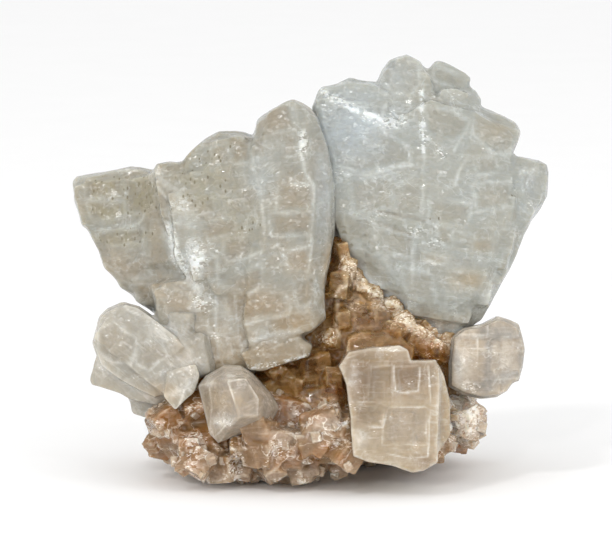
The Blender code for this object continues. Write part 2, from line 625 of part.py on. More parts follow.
def main():
    clear_scene()
    base()
    left_blade()
    left_spire()
    right_spire()
    left_block()
    corner_crystal()
    front_cube()
    right_block()
    inner_crystals()
    rear_crystals()
    base_druse()
    cluster = join_all("halite_cluster")
    drop_pockets(cluster)
    thin_out(cluster, MOST_TRIANGLES)
    cluster.data.materials.clear()
    cluster.data.materials.append(halite_material())


main()
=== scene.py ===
"""The looks of a halite crystal cluster: milky stepped spires and clear cubes on a crust of small cubes.

Shapes are worked out in drawn millimetres (across, depth, up), seen square on from LEAN_DEG above level
with depth running away from that side, and are stood upright in metres at the end.
"""

import math
import random

import bmesh
import bpy
import numpy as np
from mathutils import Euler, Matrix, Vector


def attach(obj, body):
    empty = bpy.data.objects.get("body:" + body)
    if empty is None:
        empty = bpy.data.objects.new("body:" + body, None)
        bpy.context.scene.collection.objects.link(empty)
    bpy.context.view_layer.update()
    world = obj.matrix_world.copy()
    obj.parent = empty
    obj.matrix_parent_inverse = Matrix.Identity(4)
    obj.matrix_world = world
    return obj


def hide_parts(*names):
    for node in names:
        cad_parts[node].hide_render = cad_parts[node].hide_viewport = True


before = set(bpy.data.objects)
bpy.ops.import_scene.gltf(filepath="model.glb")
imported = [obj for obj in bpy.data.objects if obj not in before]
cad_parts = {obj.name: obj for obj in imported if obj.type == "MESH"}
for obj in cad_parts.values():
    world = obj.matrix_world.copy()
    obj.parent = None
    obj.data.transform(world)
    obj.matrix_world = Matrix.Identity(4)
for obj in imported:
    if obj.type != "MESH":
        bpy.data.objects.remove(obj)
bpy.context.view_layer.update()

MM = 0.001
LEAN_DEG = 8.0
FLOOR_MM = 3.0
SETTLE = (-0.25, -2.86)
CHAMFER = 0.7

# ---------------------------------------------------------------- outlines, mm
BLADE = [
    (-59.5, 76.5), (-58.5, 78), (-52.5, 79), (-44.5, 80.5), (-39.5, 79.5), (-31, 72), (-28.5, 49.5),
    (-34, 40), (-38, 42.5), (-39.5, 44), (-43.5, 46.5), (-44, 48), (-47.5, 50), (-48.5, 52), (-51.5, 55),
    (-53, 59.5), (-54.5, 62.5), (-55.5, 65), (-57, 65.5), (-58, 69), (-59, 72),
]
LEFT_COLUMN = [
    (-39, 79), (-38, 81), (-34.5, 81.5), (-32, 81), (-29.5, 84), (-26, 87), (-22.5, 89), (-18.5, 89),
    (-15.5, 88.5), (-12, 86), (-9.5, 72), (-9.5, 57), (-11, 47), (-19.5, 46), (-26, 49.5), (-29.5, 51.5),
    (-32.5, 55), (-34.5, 60), (-35.5, 64), (-37.5, 69),
]
RIGHT_COLUMN = [
    (-13.5, 89.5), (-13, 92), (-11, 93.5), (-8.5, 95), (-6, 96.5), (-4, 97), (-1.5, 96), (0.5, 94.5),
    (2.5, 91), (4.5, 85.5), (6, 79), (6.5, 72), (6, 63), (5, 57), (3.5, 49.5), (4, 42.5), (0.5, 39),
    (-7.5, 36), (-15, 34.5), (-17, 39.5), (-15.5, 62), (-15, 81.5),
]
BLUE_BLOCK = [
    (0.5, 95), (2, 99.5), (3, 100.5), (7, 101), (10, 102.5), (12, 102), (16, 101.5), (20.5, 99),
    (25.5, 92), (26.5, 79.5), (17.5, 74), (6, 74), (5.5, 84.5), (3, 90.5),
]
PEAK = [
    (17, 101), (18, 104), (20, 107), (22.5, 108), (24.5, 108.5), (27.5, 107), (29, 105), (30.5, 103.5),
    (32, 98), (30, 88), (19, 88),
]
CAP = [(29.5, 103.5), (31.5, 107), (33, 107), (39, 104), (40.5, 102.5), (39.5, 100), (35, 96), (29, 97)]
LEDGE_BLOCK = [
    (29, 99.5), (32.5, 100.5), (39.5, 100.5), (41.5, 99.5), (43, 97), (42, 95.5), (47.5, 93.5), (51.5, 91.5),
    (53, 89), (52, 86), (50.5, 82.5), (47.5, 77), (36.5, 74), (29, 82),
]
WING = [
    (46.5, 82), (52.5, 83), (57.5, 82), (59.5, 81), (60, 79), (59.5, 73), (58, 70), (56, 67.5), (47.5, 64),
    (43.5, 74.5),
]
BODY = [
    (6, 80), (17.5, 84.5), (28.5, 90), (40, 87), (50, 81.5), (55, 74.5), (56.5, 69), (55, 66), (52, 62),
    (51, 57.5), (50, 54.5), (48, 51), (46.5, 48), (43.5, 43.5), (43, 42), (38.5, 39), (34, 37), (30, 39),
    (25.5, 40.5), (23, 44.5), (20, 46), (17, 48), (12.5, 51), (9.5, 54), (10, 59.5), (8, 64), (7, 70.5),
]
LEFT_BLOCK = [
    (-54, 36.5), (-53, 40), (-52, 43), (-50, 45), (-46.5, 46.5), (-42.5, 45.5), (-37.5, 42), (-33, 38.5),
    (-29.5, 34.5), (-30.5, 25.5), (-38, 22.5), (-46, 26.5), (-52, 31),
]
LEFT_STEP = [
    (-53, 33), (-42, 33), (-34, 26), (-36, 20.5), (-44.5, 22.5), (-47, 24), (-54, 26), (-54.5, 27.5),
]
LEFT_FOOT = [(-45, 23), (-34.5, 24), (-29.5, 21.5), (-31, 15.5), (-41, 18), (-44, 19)]
PALE_STEP = [(-35, 29.5), (-28, 31.5), (-27, 28.5), (-28.5, 24.5), (-33, 20), (-36, 23.5)]
NECK = [
    (-39.5, 51), (-27, 53), (-14, 50), (-13, 36), (-14, 28), (-26, 26), (-33.5, 30), (-37, 40),
]
CORNER_CRYSTAL = [
    (-27.5, 26), (-25.5, 28.5), (-21, 31), (-17, 31), (-14, 29), (-11, 25.5), (-9, 23.5), (-7.5, 20.5),
    (-9, 17.5), (-11.5, 16), (-16, 15), (-19.5, 13.5), (-22.5, 12), (-24.5, 14), (-26, 20),
]
CORNER_FACET = [
    (-19.8, -35.0, 27.8), (-15.6, -33.8, 28.0), (-12.4, -32.0, 23.0), (-12.6, -32.5, 18.6),
    (-17.2, -35.5, 18.4),
]
CUBE_MAIN = [
    (9.5, 34.5), (15, 35.5), (22, 36), (24, 35), (25, 32.3), (31, 32.5), (32, 29.5), (31.3, 7.5),
    (28, 5.5), (25, 5), (21, 6.5), (14.5, 7.5), (10.5, 9), (10, 18), (9, 26.5), (7, 31),
]
CUBE_SIDE = [(26, 30.5), (31.5, 31.5), (33, 28.5), (34.5, 22), (34.5, 14), (31, 9), (26, 8.5)]
RIGHT_BLOCK = [
    (35.5, 38), (38, 40), (43, 41), (47, 43), (50, 42), (52, 41), (53, 37.5), (53.5, 35), (53, 31),
    (52, 27), (50.5, 26.5), (49, 24.5), (46.5, 23), (42.5, 22.5), (38, 23.5), (34.5, 25.5), (34.5, 32),
]
SHELF = [(-17, 34), (-10, 37), (-2.5, 38), (1, 36), (0, 33), (-5, 31.5), (-12, 29.5), (-15, 30)]
TAN_CUBE = [(6, 47), (7.5, 50), (11.5, 51), (23, 45), (24, 36), (10, 34), (5.5, 40)]
GREY_CUBE = [(9.5, 38), (12.5, 39.5), (22, 38.5), (26, 35), (25, 29), (8.5, 29)]
BROWN_CUBE = [(22.5, 40), (28.5, 40), (36, 37.5), (36.5, 31.5), (32.5, 27), (24.5, 28)]
BASE_FRONT = [
    (-39.5, 19.5), (-38.5, 15), (-36.5, 10), (-33.5, 6), (-27.5, 3), (-21.5, 2), (-15, 3), (-8.5, 1.5),
    (-4.5, 1.5), (3.5, 3.5), (5.5, 6.5), (10, 10), (24, 8), (32, 9), (35, 13), (34, 22), (8, 21), (-6, 24),
    (-28, 30), (-36, 27),
]
BASE_REAR = [
    (-32, 7), (-12, 4.5), (6, 4.5), (20, 6.5), (32, 8.5), (35, 10), (37, 14), (41, 19), (43, 26), (39, 36),
    (30, 44), (8, 48), (-14, 50), (-32, 44), (-37, 30), (-36, 16),
]

# ---------------------------------------------------------------- growth marks on the near faces, mm
# CELLS are sunk window panes of clearer salt, SEAMS are raised white lines, CRACKS are thin dark lines.
LEFT_SPIRE_CELLS = [
    [(-7.5, 75), (0.5, 75), (0.5, 70), (-8, 69)],
    [(-9.5, 68), (0.5, 68.5), (0, 63.5), (-9, 63)],
    [(-6, 59), (0, 59.5), (-0.5, 54.5), (-5, 54.5)],
    [(-21, 62), (-15, 62.5), (-15, 59), (-19.5, 56.5), (-21, 58.5)],
    [(-19, 52), (-14.5, 54.5), (-12, 55.5), (-12, 51), (-15.5, 49), (-19, 50)],
    [(-20.5, 48), (-16.5, 48), (-12.5, 49), (-7.5, 48.5), (-5.5, 46), (-6, 44), (-10, 43.5), (-14.5, 42.5),
     (-18, 43), (-20.5, 46)],
    [(-26, 66.5), (-19, 67), (-18.5, 64), (-25, 62.5)],
    [(-28, 56.5), (-23.5, 57), (-23, 53), (-26, 52)],
    [(-3.5, 51.5), (1, 52.5), (1.5, 47), (-2.5, 45.5)],
    [(-10.5, 41.5), (-4.5, 43.5), (0.5, 44), (0.5, 41), (-7.5, 39.5)],
    [(-20, 87.5), (-15.5, 87), (-14.5, 81.5), (-19, 81)],
    [(-11.5, 94), (-5, 95), (-4, 89.5), (-10.5, 88)],
]
LEFT_SPIRE_SEAMS = [
    [(-3.5, 95.5), (-3, 91), (-2.5, 84), (-1, 78.5), (1, 75), (1, 69), (0.5, 62), (0, 56.5)],
    [(-14.5, 80), (-12, 74.5), (-11.5, 69), (-11, 63.5), (-12, 58.5)],
    [(-22.5, 51), (-19.5, 50.5), (-16.5, 48.5), (-12.5, 50), (-8.5, 50), (-6, 48.5), (-4.5, 46), (-5, 43.5)],
    [(-20.5, 56.5), (-16, 57.5), (-11.5, 59.5), (-7.5, 60.5)],
    [(-19.5, 42), (-15.5, 41), (-10, 42.5), (-5, 43.5)],
    [(-17, 35.5), (-14.5, 37), (-10, 38.5), (-5.5, 39.5), (-0.5, 39)],
    [(-35.5, 65), (-34.5, 61), (-33, 58), (-31, 55), (-29, 52.5), (-27.5, 49.5)],
    [(-37.5, 75), (-34.5, 71), (-31.5, 68.5), (-28, 68)],
]
BLADE_CELLS = [
    [(-56, 76.5), (-46.5, 77), (-46.5, 73.5), (-55.5, 72.5)],
    [(-46, 76.5), (-39.5, 77), (-39.5, 69), (-45.5, 69)],
    [(-55, 71), (-46.5, 71.5), (-46.5, 68), (-54, 67)],
    [(-52.5, 63.5), (-41.5, 64.5), (-41.5, 61.5), (-51.5, 60.5)],
    [(-49, 56.5), (-40.5, 57.5), (-40.5, 53), (-47, 52)],
    [(-44.5, 50.5), (-40, 50.5), (-40, 46), (-42, 46.5)],
]
BLADE_SEAMS = [[(-53, 64), (-47.5, 64.5), (-42.5, 66), (-41, 68.5)]]
BLADE_CRACKS = [
    [(-45.5, 56.5), (-43, 57.5), (-39.5, 57.5)],
    [(-41, 51), (-37.5, 52), (-33.5, 51), (-29.5, 49.5)],
    [(-39, 50), (-38.5, 47), (-38.5, 43)],
]
UPPER_CELLS = [
    [(2.5, 97), (9, 95), (17.5, 89.5), (24.5, 84.5), (24.5, 81.5), (12.5, 79), (7, 81), (4, 90.5)],
    [(18.5, 106), (24, 108), (27, 106.5), (27, 101), (25, 98.5), (21, 99), (18, 101.5)],
    [(29.5, 95), (34.5, 94), (39.5, 91.5), (38.5, 89), (35.5, 87), (29.5, 89)],
    [(41, 94), (47.5, 92), (51.5, 89), (50, 83.5), (45.5, 84), (41, 88.5)],
    [(53, 78.5), (58.5, 78), (58.5, 70.5), (53.5, 68.5)],
    [(31.5, 105.5), (38.5, 102.5), (37.5, 100), (31, 102.5)],
]
BODY_CELLS = [
    [(34.5, 54), (40, 53.5), (43.5, 53), (42, 49.5), (37, 51)],
    [(41, 61.5), (45.5, 62), (45, 59), (41.5, 59.5)],
    [(36, 63.5), (40.5, 63), (40.5, 62), (36, 62)],
    [(28.5, 58.5), (33.5, 57), (33.5, 56), (28.5, 57.5)],
    [(10, 76.5), (19.5, 77.5), (20.5, 70.5), (11.5, 69)],
    [(21, 74.5), (27, 75.5), (28, 69), (22, 68)],
    [(9, 68), (15.5, 66.5), (15.5, 61), (10, 62)],
    [(17, 64.5), (25.5, 62.5), (25.5, 58), (17.5, 59)],
    [(30, 72), (39.5, 70.5), (39, 65.5), (30, 66.5)],
    [(41, 75.5), (49.5, 76), (50.5, 70.5), (42, 69.5)],
    [(11.5, 59.5), (17.5, 57.5), (21.5, 52), (17.5, 50), (12, 54)],
    [(23, 55), (30, 53), (31, 47), (24.5, 48)],
    [(41, 82.5), (46, 82), (46.5, 79), (42, 78.5)],
    [(32.5, 65), (35.5, 64.5), (35, 60.5), (32, 61)],
]
BODY_SEAMS = [
    [(28, 99), (28, 91), (28.5, 82.5), (28.5, 76), (27.5, 69.5)],
    [(38.5, 88.5), (36, 84.5)],
    [(39.5, 83), (37, 79), (36, 75.5)],
    [(9.5, 65.5), (9.5, 59.5), (10, 54)],
    [(7, 78.5), (14.5, 78), (19, 79.5), (25.5, 80.5)],
    [(2, 99.5), (6.5, 97), (9.5, 95), (17.5, 92), (22, 90)],
    [(25.5, 59), (25.5, 51)],
]
BODY_CRACKS = [
    [(14.5, 69.5), (21.5, 68), (28.5, 67)],
    [(17.5, 66), (21.5, 64.5), (25.5, 63)],
    [(36, 57), (39.5, 56.5)],
    [(28.5, 98), (33, 96.5), (37, 95)],
]
LEFT_BLOCK_CELLS = [
    [(-52, 39.5), (-48.5, 41.5), (-45.5, 39), (-43, 37), (-43.5, 34), (-44.5, 31.5), (-48.5, 32),
     (-52, 34.5)],
    [(-42, 36.5), (-37, 37), (-35.5, 33.5), (-39.5, 30), (-42.5, 31.5)],
    [(-34, 30.5), (-28, 31), (-28, 27.5), (-32, 25)],
]
LEFT_BLOCK_SEAMS = [
    [(-48.5, 42), (-45.5, 39), (-42.5, 37.5), (-43, 33.5), (-44, 31)],
    [(-44, 22), (-39.5, 20), (-34, 17)],
    [(-28.5, 30), (-31, 24.5), (-33.5, 17.5)],
    [(-47, 45.5), (-42, 43.5), (-37.5, 40), (-35, 37)],
]
FRONT_CUBE_CELLS = [
    [(20.5, 30.5), (26.5, 31), (26.5, 25), (22.5, 24.5), (21, 25)],
    [(16, 27), (18, 27), (18, 23), (16, 23)],
    [(14.5, 30.5), (20, 31), (20, 22.5), (14.5, 22.5)],
    [(18.5, 21), (28.5, 21), (28.5, 12), (18, 12)],
    [(11, 21.5), (18, 20.5), (17.5, 16.5), (11.5, 17)],
]
FRONT_CUBE_SEAMS = [
    [(20.5, 31), (21, 25), (22.5, 24.5), (26.5, 25), (27, 30.5)],
    [(15, 31), (14.5, 24)],
    [(10, 22.5), (17, 22), (19.5, 21), (28.5, 21)],
    [(20, 21), (19, 20.5), (18, 16), (15, 16)],
    [(29, 31.5), (29.5, 23), (29, 9)],
    [(10.5, 11), (17, 10), (24.5, 8.5), (29, 9)],
    [(9, 33), (14.5, 35), (23, 35)],
]
CORNER_SEAMS = [
    [(-19.9, 27.2), (-18.2, 22), (-16.5, 19.1)],
    [(-19.9, 27.2), (-15.5, 28.1), (-12.6, 23), (-12.6, 19.1), (-16.5, 19.1)],
    [(-16.5, 19.1), (-19.9, 16.9), (-23.3, 13.5)],
    [(-12.6, 19.1), (-8, 21)],
    [(-24.5, 27.5), (-24, 20), (-24.5, 14)],
]
RIGHT_BLOCK_CELLS = [
    [(36, 38), (44, 37.5), (43.5, 26.5), (37.5, 26.5)],
    [(44.5, 37.5), (52, 38), (52, 29.5), (44.5, 28)],
]
RIGHT_BLOCK_SEAMS = [
    [(36, 38.5), (42, 38.5), (49, 38)],
    [(41.5, 37.5), (41.5, 32), (41.5, 26.5)],
    [(44, 41), (44.5, 34), (44, 25)],
    [(38.5, 35), (47, 35), (53, 34.5)],
]
NECK_CELLS = [
    [(-36.5, 49), (-30, 49.5), (-29.5, 42.5), (-34.5, 41.5)],
    [(-33.5, 39.5), (-25.5, 40), (-25, 34), (-31, 33)],
    [(-23.5, 43), (-20, 43), (-18, 34), (-21, 33.5)],
]

# ---------------------------------------------------------------- what grows between the crystals, mm
# Hulls of points (across, depth, up): massive salt that fills a corner between two crystals.
BLADE_TO_COLUMN = [
    (-45.0, -3.0, 77), (-36.0, -11.0, 79), (-43.0, -3.0, 56), (-33.0, -11.5, 57), (-30.0, -3.0, 50),
    (-29.0, -12.0, 80), (-27.0, -12.0, 53), (-44.0, 6.0, 77), (-29.0, 6.0, 80), (-42.0, 6.0, 56),
    (-28.0, 6.0, 50),
]
BLADE_TO_NECK = [
    (-41.0, -3.6, 60), (-31.0, -10.0, 60), (-38.5, -3.6, 48), (-26.0, -11.0, 47), (-33.0, -9.0, 52),
    (-41.0, 6.0, 60), (-26.0, 6.0, 60), (-38.0, 6.0, 47), (-26.0, 6.0, 46),
]
BODY_TO_COLUMN = [
    (3.0, -9.0, 84), (10.0, -8.5, 84), (4.5, -11.0, 72), (12.0, -9.6, 71), (8.5, -8.0, 60), (13.0, -8.5, 58),
    (10.5, -3.0, 53.5), (3.0, 7.0, 84), (12.0, 7.0, 84), (10.0, 7.0, 55), (14.0, 7.0, 55),
]
BLUE_TO_BODY = [
    (1.5, -5.0, 97), (6.0, -6.5, 98), (2.5, -8.5, 80), (9.0, -9.7, 78), (22.0, -9.8, 79), (24.0, -6.8, 91),
    (2.0, 7.0, 96), (3.0, 7.0, 80), (22.0, 7.0, 80), (22.0, 7.0, 90),
]
LEDGE_TO_BODY = [
    (19.0, -10.2, 77), (38.0, -10.4, 77), (49.0, -9.0, 72), (23.0, -7.0, 93), (30.0, -5.8, 97),
    (41.0, -5.6, 94), (51.0, -5.2, 88), (20.0, 7.0, 78), (49.0, 7.0, 74), (30.0, 7.0, 95), (50.0, 7.0, 88),
]
WING_TO_BODY = [
    (44.0, -10.2, 74), (50.0, -8.0, 62), (46.0, -6.0, 85), (57.5, -3.0, 81), (58.0, -3.0, 72),
    (44.0, 7.0, 74), (50.0, 7.0, 64), (57.5, 7.0, 81), (57.5, 7.0, 72),
]
# How far the body's outline is worn in, and at what depth.
BODY_SKIRT = ((0.2, -3.0), (7.0, -9.7), (0.4, 12.0))
FRONT_PLATES = [
    # middle, size
    ((15.0, -32.05, 27.0), (9.0, 3.0, 11.5)),
    ((25.8, -31.3, 27.5), (7.0, 3.0, 7.0)),
    ((18.5, -31.9, 15.5), (13.5, 3.0, 8.0)),
]
NECK_CUBES = [
    # middle, size, turn in degrees, seed
    ((-31.0, -8.0, 41.0), (10.0, 13.0, 9.0), (12, 8, -30), 21),
    ((-28.0, -11.0, 32.5), (9.0, 13.0, 10.0), (-8, -10, -14), 22),
    ((-33.5, -12.0, 28.5), (9.0, 12.0, 8.0), (10, 6, -38), 23),
]
INNER_CUBES = [
    # middle, size, turn in degrees, seed
    ((7.8, -5.0, 58.0), (2.8, 9.0, 8.5), (10, -14, 14), 24),
    ((8.2, -5.5, 54.5), (4.0, 9.0, 5.0), (-10, 15, 24), 25),
    ((8.2, -6.5, 51.5), (5.0, 9.0, 6.5), (14, 10, -12), 26),
    ((-2.0, -3.0, 29.5), (13.0, 12.0, 12.0), (8, 14, 20), 3),
    ((5.0, 0.0, 37.0), (11.0, 12.0, 11.0), (-6, 6, -14), 4),
    ((-8.5, -8.0, 24.5), (11.0, 10.0, 8.5), (10, -16, 24), 5),
    ((3.5, -12.0, 22.0), (10.0, 8.0, 6.5), (-8, -8, -12), 6),
    ((-10.0, -2.0, 33.0), (8.0, 10.0, 7.0), (14, 4, 32), 7),
    ((33.0, -4.0, 27.0), (8.0, 9.0, 9.0), (6, 12, 28), 8),
    ((6.5, 3.0, 48.8), (10.0, 15.0, 9.5), (4, 8, -6), 9),
]
BASE_CUBES = [
    # middle, size, turn in degrees, seed
    ((-6.3, -23.0, 11.0), (10.0, 8.0, 9.0), (12, 8, 10), 61),
    ((2.8, -23.5, 14.0), (8.5, 8.0, 11.0), (-8, -10, -14), 62),
]
BASE_LUMPS = [
    # middle, radii, seed
    ((-26.0, -11.0, 12.0), (12.0, 11.0, 9.0), 41),
    ((-6.5, -17.0, 10.0), (8.0, 9.0, 8.0), 42),
    ((4.5, -17.5, 13.5), (7.0, 10.5, 8.0), 43),
    ((36.0, -2.0, 18.0), (7.0, 11.0, 8.0), 45),
    ((10.0, 21.0, 14.0), (24.0, 11.0, 11.0), 46),
    ((-20.0, 15.0, 15.0), (15.0, 11.0, 11.0), 47),
]
# The crumbs of salt along the lower edge of the big body.
CRUMBLY_EDGE = [
    (9.5, 55.5), (12.0, 51.5), (17.0, 48.0), (21.5, 45.0), (25.0, 41.0), (30.0, 38.5), (35.0, 36.5),
]
CRUMBS = 44
CRUMB_SIDE = (1.5, 3.2)
CRUMB_DEPTH = (-8.0, -4.5)
BROWN_CUBES = [
    # middle, size, turn in degrees
    ((27.0, -9.0, 37.5), (5.5, 6.0, 6.0), (20, 30, 20)),
    ((31.5, -9.5, 34.0), (5.0, 5.0, 4.5), (-15, 25, 40)),
    ((23.5, -10.0, 41.5), (4.5, 5.0, 4.0), (30, -20, 10)),
    ((20.5, -11.0, 38.5), (5.0, 5.0, 6.5), (10, 40, -25)),
    ((5.0, -8.0, 37.0), (4.0, 5.0, 5.0), (-20, 15, 35)),
    ((1.0, -11.0, 30.5), (7.0, 6.0, 7.5), (15, -12, 30)),
    ((-4.0, -12.0, 26.5), (6.5, 5.0, 6.0), (25, 20, -20)),
    ((5.5, -13.0, 27.0), (4.5, 5.0, 5.5), (-25, 8, 15)),
    ((-8.0, -13.5, 29.5), (5.0, 4.0, 4.0), (5, 35, 25)),
    ((8.0, -7.0, 42.5), (3.5, 5.0, 4.5), (12, -8, 20)),
]
REAR_BLOCKS = [
    # middle, size, turn in degrees
    ((-16.0, 17.0, 41.0), (20.0, 17.0, 20.0), (4, 9, 14)),
    ((20.0, 23.0, 34.0), (18.0, 15.0, 17.0), (-5, -12, -9)),
    ((2.0, 27.0, 22.0), (15.0, 14.0, 15.0), (6, 18, 6)),
    ((-27.0, 16.0, 25.0), (14.0, 14.0, 13.0), (-6, 14, -8)),
    ((34.0, 14.0, 27.0), (13.0, 13.0, 12.0), (5, -10, 12)),
    ((6.0, 14.0, 60.0), (14.0, 13.0, 20.0), (3, 4, 10)),
    ((-30.0, 9.0, 62.0), (13.0, 10.0, 15.0), (-2, -5, 6)),
    ((-12.0, 25.0, 27.0), (10.0, 11.0, 10.0), (12, -22, 16)),
    ((13.0, 29.0, 13.5), (12.0, 11.0, 11.0), (-14, 24, -12)),
    ((28.0, 22.0, 17.0), (12.0, 12.0, 11.0), (18, -8, 26)),
    ((-24.0, 21.0, 13.5), (11.0, 11.0, 10.0), (-10, 30, 12)),
    ((3.0, 21.0, 38.0), (11.0, 13.0, 12.0), (8, -18, -20)),
    ((30.0, 17.0, 41.0), (11.0, 11.0, 10.0), (-12, 16, 8)),
]
DRUSE_ZONES = [
    # middle, half spread, cube size range, count, seed
    ((-31.0, -16.0, 18.0), (5.0, 5.0, 6.0), (3.5, 6.5), 10, 51),
    ((-25.0, -20.0, 9.0), (9.0, 4.0, 4.0), (3.5, 7.0), 13, 52),
    ((-7.5, -25.0, 10.5), (6.5, 2.0, 6.0), (4.0, 8.0), 12, 53),
    ((4.0, -26.0, 14.0), (5.5, 2.5, 6.0), (4.0, 7.0), 10, 54),
    ((-6.0, -15.0, 4.8), (14.0, 6.0, 1.6), (3.0, 5.0), 12, 55),
    ((38.0, -8.0, 17.0), (4.0, 6.0, 4.5), (2.8, 5.0), 13, 56),
    ((33.0, -14.0, 12.5), (2.0, 4.0, 3.5), (3.0, 5.0), 6, 57),
    ((-36.0, -2.0, 15.0), (3.0, 9.0, 6.0), (3.5, 6.5), 9, 58),
    ((-33.0, 14.0, 15.0), (4.0, 8.0, 6.5), (4.0, 7.5), 9, 59),
    ((-14.0, 25.0, 15.0), (15.0, 2.5, 8.0), (4.5, 8.0), 12, 60),
    ((14.0, 30.0, 15.0), (16.0, 2.5, 8.0), (4.5, 8.0), 12, 61),
    ((37.0, 14.0, 18.0), (4.0, 9.0, 7.0), (3.5, 7.0), 10, 62),
]


# ---------------------------------------------------------------- flat outlines
def area(outline):
    """More than nothing where the outline runs against the clock."""
    total = 0.0
    for (ax, aw), (bx, bw) in zip(outline, outline[1:] + outline[:1]):
        total += ax * bw - bx * aw
    return total / 2


def centre(outline):
    """The mean of the corners."""
    n = len(outline)
    return sum(p[0] for p in outline) / n, sum(p[1] for p in outline) / n


def inset(outline, d):
    """The outline shrunk towards its middle so its widest points move in by d."""
    xs = [p[0] for p in outline]
    ws = [p[1] for p in outline]
    mx = (min(xs) + max(xs)) / 2
    mw = (min(ws) + max(ws)) / 2
    kx = 1 - 2 * d / (max(xs) - min(xs))
    kw = 1 - 2 * d / (max(ws) - min(ws))
    return [(mx + (x - mx) * kx, mw + (w - mw) * kw) for x, w in outline]


def clip(outline, corner, along):
    """The part of the outline on the left of the line through `corner` in direction `along`."""
    out = []
    n = len(outline)
    for i in range(n):
        a = outline[i]
        b = outline[(i + 1) % n]
        da = along[0] * (a[1] - corner[1]) - along[1] * (a[0] - corner[0])
        db = along[0] * (b[1] - corner[1]) - along[1] * (b[0] - corner[0])
        if da >= 0:
            out.append(a)
        if (da > 0 > db) or (da < 0 < db):
            k = da / (da - db)
            out.append((a[0] + (b[0] - a[0]) * k, a[1] + (b[1] - a[1]) * k))
    return out


def tidy(outline, least=1.0):
    """Drops corners closer than `least` to the last one kept, and corners that lie on a straight edge."""
    out = []
    for p in outline:
        if not out or math.dist(p, out[-1]) > least:
            out.append(p)
    while len(out) > 2 and math.dist(out[0], out[-1]) < least:
        out.pop()
    kept = []
    n = len(out)
    for i in range(n):
        a, b, c = out[i - 1], out[i], out[(i + 1) % n]
        turn = (b[0] - a[0]) * (c[1] - b[1]) - (b[1] - a[1]) * (c[0] - b[0])
        if abs(turn) > 0.05:
            kept.append(b)
    return kept


def edge_distance(outline, x, w):
    """How far one point is from the outline."""
    best = 1e9
    n = len(outline)
    p = Vector((x, w))
    for i in range(n):
        a = Vector(outline[i])
        b = Vector(outline[(i + 1) % n])
        k = max(0.0, min(1.0, (p - a).dot(b - a) / (b - a).length_squared))
        best = min(best, (p - a.lerp(b, k)).length)
    return best


